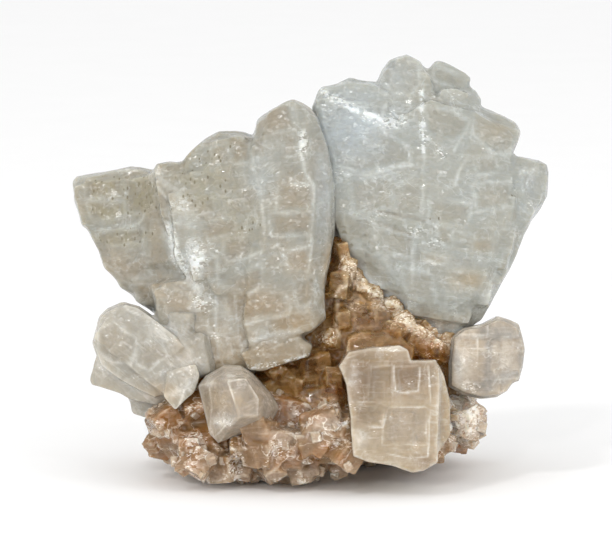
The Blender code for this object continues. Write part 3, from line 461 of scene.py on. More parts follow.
# ---------------------------------------------------------------- rough crystals
class Heap:
    """Closed shells in drawn millimetres, which overlap and are later grown into one skin."""

    def __init__(self):
        self.points = []
        self.faces = []

    def add(self, bm):
        """Takes in a closed shell, its faces pointing out."""
        bm.normal_update()
        bmesh.ops.triangulate(bm, faces=bm.faces, quad_method="FIXED", ngon_method="EAR_CLIP")
        bmesh.ops.recalc_face_normals(bm, faces=bm.faces)
        start = len(self.points)
        for i, v in enumerate(bm.verts):
            v.index = i
            self.points.append(tuple(v.co))
        self.faces += [[v.index + start for v in f.verts] for f in bm.faces]
        bm.free()

    def rings(self, rings):
        """A shell through rings of as many corners each, closed at both ends."""
        bm = bmesh.new()
        loops = [[bm.verts.new(p) for p in ring] for ring in rings]
        n = len(rings[0])
        for a, b in zip(loops, loops[1:]):
            for i in range(n):
                j = (i + 1) % n
                bm.faces.new((a[i], a[j], b[j], b[i]))
        bm.faces.new(loops[0])
        bm.faces.new(loops[-1][::-1])
        self.add(bm)

    def hull(self, spots, at=(0, 0, 0), turn=(0, 0, 0)):
        """The convex shell round some points, turned by degrees."""
        bm = bmesh.new()
        verts = [bm.verts.new(p) for p in spots]
        bmesh.ops.convex_hull(bm, input=verts)
        for v in [v for v in bm.verts if not v.link_faces]:
            bm.verts.remove(v)
        spin = Euler([math.radians(a) for a in turn]).to_matrix().to_4x4()
        bmesh.ops.transform(bm, matrix=Matrix.Translation(at) @ spin, verts=bm.verts)
        self.add(bm)

    def prism(self, outline, front, back, chamfer=CHAMFER, slope=(0.0, 0.0), rear_chamfer=True):
        """A flat-faced crystal from depth `front` to `back`, edges worn, front face sloped."""
        if area(outline) < 0:
            outline = outline[::-1]
        cx, cw = centre(outline)
        small = inset(outline, chamfer)
        rings = [(small, front), (outline, front + chamfer), (outline, back)]
        if rear_chamfer:
            rings = rings[:2] + [(outline, back - chamfer), (small, back)]
        lean = lambda x, w: slope[0] * (x - cx) + slope[1] * (w - cw)
        self.rings([[(x, t + (lean(x, w) if i < 2 else 0.0), w) for x, w in ring]
                    for i, (ring, t) in enumerate(rings)])

    def tile(self, outline, front, back, draft, slope=(0.0, 0.0)):
        """One brick of a crystal: worn edges in front, plain at the back."""
        cx, cw = centre(outline)
        rings = [(inset(outline, draft), front), (outline, front + draft), (outline, back)]
        lean = lambda x, w: slope[0] * (x - cx) + slope[1] * (w - cw)
        self.rings([[(x, t + (1.0 if i < 2 else -0.6) * lean(x, w), w) for x, w in ring]
                    for i, (ring, t) in enumerate(rings)])

    def block(self, at, size, turn=(0.0, 0.0, 0.0), taper=0.12):
        """A box turned by degrees, each face worn in to leave a chamfer."""
        half = [s / 2 for s in size]
        cut = min(size) * taper
        spots = []
        for sx in (-1, 1):
            for sy in (-1, 1):
                for sz in (-1, 1):
                    spots.append((sx * half[0], sy * (half[1] - cut), sz * (half[2] - cut)))
                    spots.append((sx * (half[0] - cut), sy * half[1], sz * (half[2] - cut)))
                    spots.append((sx * (half[0] - cut), sy * (half[1] - cut), sz * half[2]))
        self.hull(spots, at, turn)

    def growth_cube(self, at, size, turn, seed, plates=2):
        """A cube with raised square growth plates off the middle of each face."""
        self.block(at, size, turn, taper=0.05)
        rng = random.Random(seed)
        spin = Euler([math.radians(a) for a in turn]).to_matrix()
        for axis in range(3):
            for side in (-1, 1):
                for _ in range(plates):
                    plate = [s * rng.uniform(0.35, 0.8) for s in size]
                    plate[axis] = size[axis] * 0.5
                    off = [(s - p) * rng.uniform(-0.42, 0.42) for s, p in zip(size, plate)]
                    off[axis] = side * (size[axis] * 0.25 + rng.uniform(0.15, 0.5))
                    spot = Vector(at) + spin @ Vector(off)
                    self.block(tuple(spot), plate, turn, taper=0.03)

    def lump(self, at, radii, seed, corners=26):
        """A flat-faceted lump of massive salt: the hull of points strewn on an ellipsoid."""
        rng = random.Random(seed)
        spots = []
        for i in range(corners):
            z = 1 - 2 * (i + 0.5) / corners
            a = i * 2.399963 + rng.uniform(-0.3, 0.3)
            r = math.sqrt(1 - z * z)
            k = rng.uniform(0.88, 1.0)
            spots.append((at[0] + radii[0] * k * r * math.cos(a), at[1] + radii[1] * k * r * math.sin(a),
                          at[2] + radii[2] * k * z))
        self.hull(spots)

    def stack(self, outline, mid, front, rear, rim, spin, pitch, scatter, seed, reach=9.0, crest=None,
              bed=4):
        """A crystal built up of bricks on its own lattice: thick in the middle, stepping down to its rim.

        It reaches `front` before and `rear` behind the depth `mid`, `rim` at its outline, and is at its full
        depth `reach` inside that. `spin` turns the lattice by degrees, `pitch` is a brick's size.
        `crest` is (across, fall to the left, fall to the right): the front rises to a ridge there.
        `bed` counts the plates that carry the near bricks.
        """
        if area(outline) < 0:
            outline = outline[::-1]
        self.prism(outline, mid - rim, mid + rim * 1.2, chamfer=1.0, rear_chamfer=False)
        for k in range(bed):
            s = (k + 0.7) / (bed + 1)
            rise = (front - rim) * math.sqrt(1 - (1 - s) ** 2)
            self.prism(inset(outline, reach * s * 0.7), mid - rim - rise + 0.3, mid + rim, chamfer=2.4,
                       rear_chamfer=False)
        rng = random.Random(seed)
        cx, cw = centre(outline)
        a = math.radians(spin)
        right = (math.cos(a), math.sin(a))
        up = (-math.sin(a), math.cos(a))
        far = max(math.hypot(x - cx, w - cw) for x, w in outline)
        v = -far
        while v < far:
            high = rng.uniform(0.65, 1.4) * pitch[1]
            u = -far - rng.uniform(0, pitch[0])
            while u < far:
                wide = rng.uniform(0.6, 1.6) * pitch[0]
                twist = a + math.radians(rng.uniform(-1.2, 1.2))
                east = (math.cos(twist), math.sin(twist))
                north = (-math.sin(twist), math.cos(twist))
                du, dv = (u - rng.uniform(0.1, 0.35), v - rng.uniform(0.1, 0.35))
                low = (cx + du * right[0] + dv * up[0], cw + du * right[1] + dv * up[1])
                du, dv = (u + wide + rng.uniform(0.1, 0.35), v + high + rng.uniform(0.1, 0.35))
                top = (cx + du * right[0] + dv * up[0], cw + du * right[1] + dv * up[1])
                ring = inset(outline, rng.uniform(0.25, 0.7))
                for corner, along in ((low, east), (top, north), (top, (-east[0], -east[1])),
                                      (low, (-north[0], -north[1]))):
                    ring = clip(ring, corner, along) if len(ring) > 2 else []
                ring = tidy(ring)
                step_f = rng.uniform(-scatter, scatter)
                step_r = rng.uniform(-scatter, scatter)
                slope = (rng.uniform(-0.05, 0.05), rng.uniform(-0.05, 0.05))
                if len(ring) > 2 and area(ring) > 7.0:
                    mx, mw = centre(ring)
                    s = min(1.0, edge_distance(outline, mx, mw) / reach)
                    dome = math.sqrt(1 - (1 - s) ** 2)
                    deep_f = max(rim * 0.6, rim + (front - rim) * dome + step_f)
                    if crest:
                        fall = crest[1] if mx < crest[0] else -crest[2]
                        deep_f = max(rim * 0.6, deep_f - abs(fall * (mx - crest[0])))
                        slope = (slope[0] - fall, slope[1])
                    deep_r = max(rim * 0.6, rim + (rear - rim) * dome + step_r)
                    self.tile(ring, mid - deep_f, mid + deep_r, 0.55, slope)
                u += wide
            v += high


# ---------------------------------------------------------------- skins, held as numbers for each point
def chance(*keys):
    """A number from 0 to 1 for each row of whole-number keys, always the same for the same keys."""
    h = np.zeros(keys[0].shape, dtype=np.uint64)
    for i, key in enumerate(keys):
        salted = (np.asarray(key).astype(np.int64) + 40507 * (i + 1)).astype(np.uint64)
        h ^= salted * np.uint64(0x9E3779B97F4A7C15)
        h ^= h >> np.uint64(29)
        h *= np.uint64(0xBF58476D1CE4E5B9)
        h ^= h >> np.uint64(32)
    return (h % np.uint64(1000003)).astype(float) / 1000003


def cloud(co, size, seed):
    """Soft lumpy noise from -1 to 1 with lumps about `size` across."""
    p = co / size + 311.7
    cell = np.floor(p).astype(np.int64)
    f = p - cell
    f = f * f * (3 - 2 * f)
    total = np.zeros(len(co))
    for corner in ((i, j, k) for i in (0, 1) for j in (0, 1) for k in (0, 1)):
        weight = np.ones(len(co))
        for axis in range(3):
            weight = weight * (f[:, axis] if corner[axis] else 1 - f[:, axis])
        total += weight * chance(*(cell + corner).T, np.full(len(co), seed))
    return total * 2 - 1


def smooth(low, high, x):
    """0 below `low`, 1 above `high`, smooth between."""
    s = np.clip((x - low) / (high - low), 0, 1)
    return s * s * (3 - 2 * s)


def line_distance(x, w, line):
    """How far each point is from the line, seen square on."""
    best = np.full(len(x), 1e9)
    for (ax, aw), (bx, bw) in zip(line, line[1:]):
        dx, dw = bx - ax, bw - aw
        k = np.clip(((x - ax) * dx + (w - aw) * dw) / (dx * dx + dw * dw), 0, 1)
        best = np.minimum(best, np.hypot(x - ax - k * dx, w - aw - k * dw))
    return best


def depth_inside(x, w, outline):
    """How far each point is inside the outline; less than nothing outside it."""
    away = line_distance(x, w, outline + outline[:1])
    inside = np.zeros(len(x), dtype=bool)
    for (ax, aw), (bx, bw) in zip(outline, outline[1:] + outline[:1]):
        if aw != bw:
            inside ^= ((aw > w) != (bw > w)) & (x < (bx - ax) * (w - aw) / (bw - aw) + ax)
    return np.where(inside, away, -away)


def points_of(mesh):
    """The mesh's points, a row of three numbers each."""
    co = np.empty(len(mesh.vertices) * 3)
    mesh.vertices.foreach_get("co", co)
    return co.reshape(-1, 3)


def note(mesh, word, values):
    """Stores a number for each point of the mesh under the word."""
    mark = mesh.attributes.get(word) or mesh.attributes.new(word, "FLOAT", "POINT")
    mark.data.foreach_set("value", values.astype(np.float32))


class Skin:
    """A grown surface: its points in drawn millimetres, its faces and its edges."""

    def __init__(self, heap, grain, rounds):
        """Melts the heap into one skin of squares `grain` across, and smooths it."""
        mesh = bpy.data.meshes.new("rough")
        mesh.from_pydata(heap.points, [], heap.faces)
        ob = bpy.data.objects.new("rough", mesh)
        bpy.context.scene.collection.objects.link(ob)
        mod = ob.modifiers.new("grow", "REMESH")
        mod.mode = "VOXEL"
        mod.voxel_size = grain
        graph = bpy.context.evaluated_depsgraph_get()
        grown = bpy.data.meshes.new_from_object(ob.evaluated_get(graph))
        self.co = points_of(grown)
        self.faces = np.empty(len(grown.polygons) * 4, dtype=np.int64)
        grown.polygons.foreach_get("vertices", self.faces)
        self.faces = self.faces.reshape(-1, 4)
        edges = np.empty(len(grown.edges) * 2, dtype=np.int64)
        grown.edges.foreach_get("vertices", edges)
        self.edges = edges.reshape(-1, 2)
        self.links = np.maximum(1, np.bincount(edges, minlength=len(self.co))).astype(float)
        bpy.data.objects.remove(ob, do_unlink=True)
        bpy.data.meshes.remove(mesh)
        bpy.data.meshes.remove(grown)
        self.grain = grain
        self.relax(rounds)

    def around(self, values):
        """The mean of each point's neighbours."""
        a, b = self.edges.T
        n = len(self.co)
        if values.ndim == 1:
            return (np.bincount(a, values[b], n) + np.bincount(b, values[a], n)) / self.links
        return np.stack([self.around(values[:, i]) for i in range(values.shape[1])], axis=1)

    def relax(self, rounds, hold=0.52):
        """Smooths the surface without shrinking it."""
        for _ in range(rounds):
            self.co += 0.5 * (self.around(self.co) - self.co)
            self.co -= hold * (self.around(self.co) - self.co)
            self.co += 0.5 * (self.around(self.co) - self.co)

    def spread(self, values, rounds):
        """Values shared out among neighbours."""
        for _ in range(rounds):
            values = 0.5 * values + 0.5 * self.around(values)
        return values

    def calm(self, rounds, share):
        """Softens the steps of the near and far faces by bringing their depth towards its local mean."""
        facing = smooth(0.4, 0.8, self.spread(np.abs(self.normals()[:, 1]), 10))
        mean = self.spread(self.co[:, 1].copy(), rounds)
        self.co[:, 1] += facing * share * (mean - self.co[:, 1])

    def fill(self, rounds):
        """Lets salt gather in the creases: hollow corners fill out, outer edges stay."""
        for _ in range(rounds):
            n = self.normals()
            hollow = ((self.around(self.co) - self.co) * n).sum(axis=1)
            self.co += n * (0.6 * np.maximum(0.0, hollow))[:, None]

    def normals(self):
        """Which way each point faces."""
        p = self.co[self.faces]
        cross = np.cross(p[:, 2] - p[:, 0], p[:, 3] - p[:, 1])
        n = np.zeros_like(self.co)
        for corner in range(4):
            for axis in range(3):
                n[:, axis] += np.bincount(self.faces[:, corner], cross[:, axis], len(self.co))
        return n / np.maximum(1e-9, np.linalg.norm(n, axis=1))[:, None]

    def bulge(self, rounds=2):
        """More than nothing on outer edges, less in creases."""
        lift = ((self.co - self.around(self.co)) * self.normals()).sum(axis=1) / self.grain
        return self.spread(lift, rounds)

    def masonry(self, spin, pitch, seed):
        """The crystal's own lattice of growth cells: distance to the cell's edge, three chances per cell."""
        n = self.normals()
        a = np.radians(spin)
        bent = self.co + 0.9 * np.stack([cloud(self.co, 8.0, seed + k) for k in (31, 32, 33)], axis=1)
        u = bent[:, 0] * np.cos(a) + bent[:, 2] * np.sin(a)
        v = -bent[:, 0] * np.sin(a) + bent[:, 2] * np.cos(a)
        t = bent[:, 1]
        nu = n[:, 0] * np.cos(a) + n[:, 2] * np.sin(a)
        nv = -n[:, 0] * np.sin(a) + n[:, 2] * np.cos(a)
        face = np.argmax(np.abs(np.stack([n[:, 1], nu, nv])), axis=0)
        across = np.where(face == 1, t, u)
        high = np.where(face == 2, t, v)
        row = np.floor(high / pitch[1])
        shift = chance(row, face, np.full(len(row), seed))
        col = np.floor(across / pitch[0] + shift)
        x = (across / pitch[0] + shift - col) * pitch[0]
        y = (high / pitch[1] - row) * pitch[1]
        away = np.minimum(np.minimum(x, pitch[0] - x), np.minimum(y, pitch[1] - y))
        dice = [chance(row, col, face, np.full(len(row), seed + k)) for k in (1, 2, 3)]
        return away, dice

    def within(self, outline, soft=1.5):
        """1 where a point lies behind the outline, 0 away from it."""
        return smooth(-soft, soft, depth_inside(self.co[:, 0], self.co[:, 2], outline))

    def make(self, name, finish, held):
        """Stands the skin upright in metres as an object of its own."""
        co = upright(self.co)
        mesh = bpy.data.meshes.new(name)
        mesh.vertices.add(len(co))
        mesh.vertices.foreach_set("co", co.ravel())
        mesh.loops.add(len(self.faces) * 4)
        mesh.loops.foreach_set("vertex_index", self.faces.ravel())
        mesh.polygons.add(len(self.faces))
        mesh.polygons.foreach_set("loop_start", np.arange(len(self.faces)) * 4)
        mesh.polygons.foreach_set("use_smooth", np.ones(len(self.faces), dtype=bool))
        mesh.update(calc_edges=True)
        for word, values in held.items():
            note(mesh, word, np.clip(values, 0, 1))
        mesh.materials.append(finish)
        ob = bpy.data.objects.new(name, mesh)
        bpy.context.scene.collection.objects.link(ob)
        return ob


def upright(co):
    """Drawn millimetres to metres, leaning back to level, resting flat on the floor."""
    a = math.radians(LEAN_DEG)
    out = np.empty_like(co)
    out[:, 0] = co[:, 0] + SETTLE[0]
    out[:, 1] = co[:, 1] * math.cos(a) + co[:, 2] * math.sin(a) + SETTLE[1]
    out[:, 2] = np.maximum(0.0, -co[:, 1] * math.sin(a) + co[:, 2] * math.cos(a) - FLOOR_MM)
    return out * MM


# What a piece holds at each point for its finish, from 0 to 1.
WORDS = ("frost", "pane", "cracks_and_shade", "warm", "cool", "dirt", "glint")


def dress(skin, spin, cells=(), seams=(), cracks=(), sink=0.14, lip=0.07, pitch=(6.5, 5.5), blocky=0.08,
          wavy=0.22, seed=1, panes=0.25, line=0.45, edges=0.7, creases=0.3, seamed=0.6):
    """Cuts growth marks into a skin and returns what its finish needs at each point.

    Cells are sunk by `sink` inside a `lip` that is `line` wide. `blocky` and `wavy` are the relief of the
    lattice and of the whole, in mm, and `panes` is the share of the lattice that is clear. `edges`, `seamed`
    and `creases` are how much frost lies on outer edges and seams, and how dark the creases are painted as
    painted shade; the frost on outer edges is partly a painted highlight. Below zero the creases and the
    side walls are frosted instead, as painted light against their shade.
    """
    n = skin.normals()
    near = smooth(0.25, 0.7, -n[:, 1])
    x, w = skin.co[:, 0].copy(), skin.co[:, 2].copy()
    x += 0.6 * line * cloud(skin.co, 3.0, seed + 41)
    w += 0.6 * line * cloud(skin.co, 3.0, seed + 42)
    worn = 0.1 + 0.9 * smooth(-0.6, 0.6, cloud(skin.co, 4.0, seed + 43))
    height = np.zeros(len(x))
    held = {word: np.zeros(len(x)) for word in WORDS}
    busy = np.zeros(len(x))
    for outline in cells:
        d = depth_inside(x, w, outline)
        height -= near * sink * smooth(-0.2, 0.9, d)
        height += near * lip * np.exp(-((d + line) / line) ** 2)
        held["pane"] = np.maximum(held["pane"], near * smooth(-0.3, 1.2, d))
        rim = np.exp(-((d + line) / line / 1.2) ** 2)
        held["frost"] = np.maximum(held["frost"], near * worn * 0.5 * seamed * rim)
        busy = np.maximum(busy, smooth(-1.6, -0.6, d))
    for seam in seams:
        d = line_distance(x, w, seam)
        height += near * lip * 1.5 * np.exp(-(d / line) ** 2)
        held["frost"] = np.maximum(held["frost"], near * worn * seamed * np.exp(-(d / line) ** 2))
        busy = np.maximum(busy, 1 - smooth(0.6, 1.6, d))
    for crack in cracks:
        d = line_distance(x, w, crack)
        height -= near * 0.4 * np.exp(-(d / 0.35) ** 2)
        held["cracks_and_shade"] = np.maximum(held["cracks_and_shade"], near * np.exp(-(d / 0.4) ** 2))
    free = 1 - near * busy
    away, dice = skin.masonry(spin, pitch, seed)
    height += blocky * free * (dice[0] * 2 - 1) * smooth(0.0, 0.5, away)
    shown = free * (dice[1] < panes) * smooth(0.3, 1.3, away)
    height -= 0.35 * sink * shown
    held["pane"] = np.maximum(held["pane"], 0.6 * shown)
    rim = np.exp(-((away - 0.4) / 0.35) ** 2)
    held["frost"] = np.maximum(held["frost"], 0.4 * seamed * worn * free * (dice[1] < panes) * rim)
    fine, luck = skin.masonry(spin, (pitch[0] * 0.38, pitch[1] * 0.36), seed + 50)
    rough = smooth(-0.1, 0.5, cloud(skin.co, 9.0, seed + 7))
    height += 0.08 * rough * (luck[0] * 2 - 1) * smooth(0.0, 0.3, fine)
    height += wavy * cloud(skin.co, 7.0, seed + 2) + 0.35 * wavy * cloud(skin.co, 2.6, seed + 3)
    skin.co += n * skin.spread(height, 1)[:, None]
    # Outer edges get frost, partly a painted highlight along the rims.
    held["frost"] = np.maximum(held["frost"], edges * worn * smooth(0.04, 0.25, skin.bulge(1)))
    bend = skin.bulge(3)
    # Creases are painted darker as painted shade; below zero the creases and side walls are painted lighter
    # with frost instead, as painted light against their shade.
    if creases > 0:
        held["cracks_and_shade"] = np.maximum(held["cracks_and_shade"], creases * smooth(0.02, 0.2, -bend))
    else:
        held["frost"] = np.maximum(held["frost"], -creases * smooth(0.0, 0.15, -bend))
        held["frost"] = np.maximum(held["frost"], -creases * (1 - smooth(0.15, 0.55, np.abs(n[:, 1]))))
    return held


def tint(held, skin, word, spots):
    """Soft patches of a tint: (across, up, half width, half height, amount), the same through the depth."""
    x, w = skin.co[:, 0], skin.co[:, 2]
    for cx, cw, rx, rw, much in spots:
        d = ((x - cx) / rx) ** 2 + ((w - cw) / rw) ** 2
        held[word] = np.maximum(held[word], much * np.exp(-d * 0.9))


def trace(held, skin, word, line, wide, much):
    """A tint along a line on the near side, ragged at its edges."""
    near = smooth(0.0, 0.5, -skin.normals()[:, 1])
    d = line_distance(skin.co[:, 0], skin.co[:, 2], line) / (wide * (1 + 0.5 * cloud(skin.co, 2.5, 77)))
    held[word] = np.maximum(held[word], near * much * np.exp(-d * d))


# ---------------------------------------------------------------- finishes
class Wire:
    """A socket that can be written into sums; each sum adds its Math node."""

    def __init__(self, bench, socket):
        self.bench = bench
        self.socket = socket

    def sum(self, operation, other=None):
        """A Math node on this socket and, where given, another value."""
        values = {0: self}
        if other is not None:
            values[1] = other
        return self.bench.add("ShaderNodeMath", {"operation": operation}, values)

    def turned(self, operation, other):
        """A Math node with the other value first."""
        return self.bench.add("ShaderNodeMath", {"operation": operation}, {0: other, 1: self})

    def __add__(self, other):
        return self.sum("ADD", other)

    def __radd__(self, other):
        return self.turned("ADD", other)

    def __sub__(self, other):
        return self.sum("SUBTRACT", other)

    def __rsub__(self, other):
        return self.turned("SUBTRACT", other)

    def __mul__(self, other):
        return self.sum("MULTIPLY", other)

    def __rmul__(self, other):
        return self.turned("MULTIPLY", other)

    def kept(self):
        """Held between 0 and 1."""
        return self.bench.add("ShaderNodeClamp", {}, {0: self})

    def step(self, low, high):
        """0 below `low`, 1 above `high`, smooth between."""
        return self.bench.add("ShaderNodeMapRange", {"interpolation_type": "SMOOTHSTEP"},
                              {"Value": self, "From Min": low, "From Max": high})


class Bench:
    """A material's node tree, filled one node at a time."""

    def __init__(self, name):
        self.material = bpy.data.materials.new(name)
        self.material.use_nodes = True
        self.tree = self.material.node_tree
        self.tree.nodes.clear()

    def add(self, kind, settings, values, out=0):
        """Adds one node: its settings first, then the values or links of its sockets."""
        node = self.tree.nodes.new(kind)
        for word, value in settings.items():
            setattr(node, word, value)
        for word, value in values.items():
            if isinstance(value, Wire):
                self.tree.links.new(value.socket, node.inputs[word])
            else:
                node.inputs[word].default_value = value
        return Wire(self, node.outputs[out])

    def held(self, word):
        """What the piece holds at each point under the word."""
        return self.add("ShaderNodeAttribute", {"attribute_name": word}, {}, out="Fac")

    def place(self):
        return self.add("ShaderNodeTexCoord", {}, {}, out="Object")

    def noise(self, place, scale, detail=3.0, rough=0.55, warp=0.0):
        """Soft noise from 0 to 1, about `scale` lumps to the metre."""
        values = {"Vector": place, "Scale": scale, "Detail": detail, "Roughness": rough, "Distortion": warp}
        return self.add("ShaderNodeTexNoise", {}, values, out="Fac")

    def mixed(self, amount, a, b):
        """Colour `a` where the amount is 0, `b` where it is 1."""
        return self.add("ShaderNodeMix", {"data_type": "RGBA"}, {"Factor": amount, 6: a, 7: b}, out=2)

    def vector(self, operation, a, b, out=0):
        return self.add("ShaderNodeVectorMath", {"operation": operation}, {0: a, 1: b}, out=out)

    def lattice(self, place, size):
        """Square growth cells about `size` metres across: nearness to a border, a chance, tilted facets."""
        give = {"Vector": place, "Scale": 1 / size, "Randomness": 0.85}
        first = {"feature": "F1", "distance": "CHEBYCHEV"}
        next_one = {"feature": "F2", "distance": "CHEBYCHEV"}
        middle = self.add("ShaderNodeTexVoronoi", first, give, out="Distance")
        node = middle.socket.node
        colour, spot = Wire(self, node.outputs["Color"]), Wire(self, node.outputs["Position"])
        second = self.add("ShaderNodeTexVoronoi", next_one, give, out="Distance")
        border = 1 - (second - middle).step(0.02, 0.2)
        luck = self.add("ShaderNodeSeparateColor", {}, {0: colour}, out=0)
        lean = self.vector("SUBTRACT", colour, (0.5, 0.5, 0.5))
        tilt = self.vector("DOT_PRODUCT", lean, self.vector("SUBTRACT", place, spot), out="Value")
        return border, luck, tilt

    def dots(self, place, stretch, scale, distance="EUCLIDEAN"):
        """1 on small dots strewn through space, one for each 1 / `scale` metres."""
        strewn = self.vector("MULTIPLY", place, stretch)
        away = self.add("ShaderNodeTexVoronoi", {"feature": "F1", "distance": distance},
                        {"Vector": strewn, "Scale": scale}, out="Distance")
        return 1 - away.step(0.12, 0.3)

    def finished(self, surface, volume=None):
        """Joins the shader, and what fills the piece, to the material's output."""
        out = self.tree.nodes.new("ShaderNodeOutputMaterial")
        self.tree.links.new(surface.socket, out.inputs["Surface"])
        if volume is not None:
            self.tree.links.new(volume.socket, out.inputs["Volume"])
        return self.material


# ---------------------------------------------------------------- finishes of the salt
BIG_CELL = 0.0042
SMALL_CELL = 0.0009
SPARKLE = (0.95, 0.95, 0.93, 1.0)
RUST = (0.11, 0.085, 0.045, 1.0)
CLAY = (0.26, 0.235, 0.15, 1.0)


def salt(name, spin, milk, pane, amber, frost, glass, share, gloss, soak, soak_colour, cloudy=0.5,
         facets=0.35, dark=(0.3, 0.25, 0.17), cool=(0.5, 0.56, 0.59), lines=0.12, streaks=0.12,
         clear_gloss=0.1, cast=0.0, vary=1.0, deep=0.003, threads=0.3, shine=0.6):
    """Halite: clear salt that absorbs light, mixed with milky salt that scatters it.

    `milk` is the massive salt, `pane` its clearer windows, `amber` its stain, `frost` its white frost, which
    also paints light on rims, in creases and on shaded parts, `dark` its cracks, dark cell borders and the
    painted shade in its creases, `cool` its bluish faces and `glass` the clear salt. `share` is how much of
    the surface is milky, `vary` how much that changes and `cast` how much the clear salt takes on the milky
    colour. `deep` is how far light scatters in the milky salt, `soak` how fast the clear salt absorbs it.
    `spin` turns the growth cells. `cloudy` mixes windows into the milky salt, and `lines`, `streaks`,
    `threads`, `facets` and `shine` are the strength of cell borders, grown streaks, fine veins, tilted
    facets and sparkles.
    """
    bench = Bench(name)
    rgb = lambda c: (*c, 1.0)
    place = bench.place()
    grown = bench.add("ShaderNodeMapping", {"vector_type": "TEXTURE"}, {
        "Vector": place, "Rotation": (math.radians(-LEAN_DEG), math.radians(-spin), 0.0),
        "Scale": (1.25, 1.0, 0.9)})
    # what the surface is made of
    drift = bench.noise(place, 90.0, 4.0, 0.6)
    patch = bench.noise(place, 210.0, 2.0)
    veil = bench.noise(place, 320.0, 5.0, 0.62, 0.6)
    grit = bench.noise(place, 1500.0, 3.0, 0.7)
    streak = bench.noise(bench.vector("MULTIPLY", grown, (0.22, 0.3, 1.0)), 900.0, 3.0, 0.6)
    frosty, paned, cracks_and_shade_held, glinting = (bench.held(word) for word in ("frost", "pane", "cracks_and_shade", "glint"))
    warm, dirty = bench.held("warm"), bench.held("dirt")
    big_edge, big_luck, big_tilt = bench.lattice(grown, BIG_CELL)
    small_edge, small_luck, small_tilt = bench.lattice(grown, SMALL_CELL)
    patchy = drift.step(0.45, 0.62)
    # colour of the milky salt
    clearer = (drift.step(0.38, 0.66) * cloudy + (big_luck - 0.5) * 0.25).kept()
    colour = bench.mixed(clearer, rgb(milk), rgb(pane))
    colour = bench.mixed((paned * 0.6 + (veil - 0.5) * 0.7 * paned).kept(), colour, rgb(pane))
    colour = bench.mixed((bench.held("cool") * (veil + 0.3)).kept(), colour, rgb(cool))
    colour = bench.mixed((warm * (0.5 + veil)).kept(), colour, rgb(amber))
    # Darker along cracks and small cell borders, with painted shade in the creases.
    colour = bench.mixed((cracks_and_shade_held * 0.4 + small_edge * (1 - patchy) * 0.08).kept(), colour, rgb(dark))
    # frost, which also paints light on rims, in creases and on shaded parts; cell borders, fine veins,
    # streaks, and sparks painted as highlights
    borders = big_edge * lines + small_edge * lines * 0.6 * patchy
    white = frosty * (veil * 0.6 + grit * 0.5) + borders * (grit + 0.2)
    thread = 1 - (bench.noise(grown, 150.0, 4.0, 0.5, 0.5) - 0.5).sum("ABSOLUTE").step(0.0, 0.022)
    white = white + thread * threads * (patch - 0.42).step(0.0, 0.12)
    chosen = (small_luck + grit * 0.5 - 0.6).step(0.0, 0.2)
    sparks = (glinting + (patch - 0.5).step(0.0, 0.1) * 0.12) * chosen
    white = (white + (streak - 0.56).step(0.0, 0.12) * streaks + sparks * 0.8).kept()
    colour = bench.mixed(white, colour, rgb(frost))
    lively = (veil * 0.5 + patch * 0.5 + glinting * 0.5 + frosty * 0.05 - 0.58).step(0.0, 0.08)
    glimmer = bench.dots(grown, (1.0, 1.0, 1.6), 1200.0, "CHEBYCHEV") * lively * shine
    colour = bench.mixed(glimmer.kept(), colour, SPARKLE)
    # rust specks and clay
    specks = bench.dots(place, (1.0, 1.0, 0.55), 800.0) * (patch + dirty * 0.8 - 0.72).step(0.0, 0.1)
    colour = bench.mixed((specks * 0.85).kept(), colour, RUST)
    haze = dirty * (0.4 + veil.step(0.4, 0.6) * 0.6)
    colour = bench.mixed(haze.kept(), colour, CLAY)
    # gloss and relief
    bright = ((small_luck - 0.62).step(0.0, 0.1) * patchy + sparks).kept()
    rough = (gloss + frosty * 0.1 - bright * gloss * 0.8 + (grit - 0.5) * 0.12).kept()
    relief = veil * 0.00008 + grit * 0.00004 + streak * 0.00003 + big_tilt * facets * 0.5
    relief = relief + small_tilt * facets * (0.4 + bright + glinting) - big_edge * 0.00003
    normal = bench.add("ShaderNodeBump", {}, {"Strength": 1.0, "Distance": 1.0, "Height": relief})
    # clear and milky salt together
    clear_colour = bench.mixed((warm * 0.7 + paned * 0.3).kept(), rgb(glass), rgb(amber))
    through = bench.add("ShaderNodeGamma", {}, {0: colour, 1: 0.5})
    clear_colour = bench.mixed(cast, clear_colour, through)
    clear = bench.add("ShaderNodeBsdfPrincipled", {"distribution": "MULTI_GGX"}, {
        "Base Color": clear_colour, "Roughness": (clear_gloss + (grit - 0.5) * 0.08 + white * 0.15).kept(),
        "IOR": 1.544, "Transmission Weight": 1.0, "Normal": normal})
    cloudy_salt = bench.add("ShaderNodeBsdfPrincipled", {"distribution": "MULTI_GGX"}, {
        "Base Color": colour, "Roughness": rough, "IOR": 1.544, "Subsurface Weight": 0.8,
        "Subsurface Radius": (1.0, 0.85, 0.65), "Subsurface Scale": deep, "Normal": normal})
    uneven = white * 0.8 + glimmer + (veil - 0.5) * 0.7 + (drift - 0.5) * 0.6 - paned * 0.15 + haze + specks
    mix = bench.add("ShaderNodeMixShader", {}, {0: (share + uneven * vary).kept(), 1: clear, 2: cloudy_salt})
    soaked = bench.add("ShaderNodeVolumeAbsorption", {}, {"Color": rgb(soak_colour), "Density": soak})
    return bench.finished(mix, soaked)


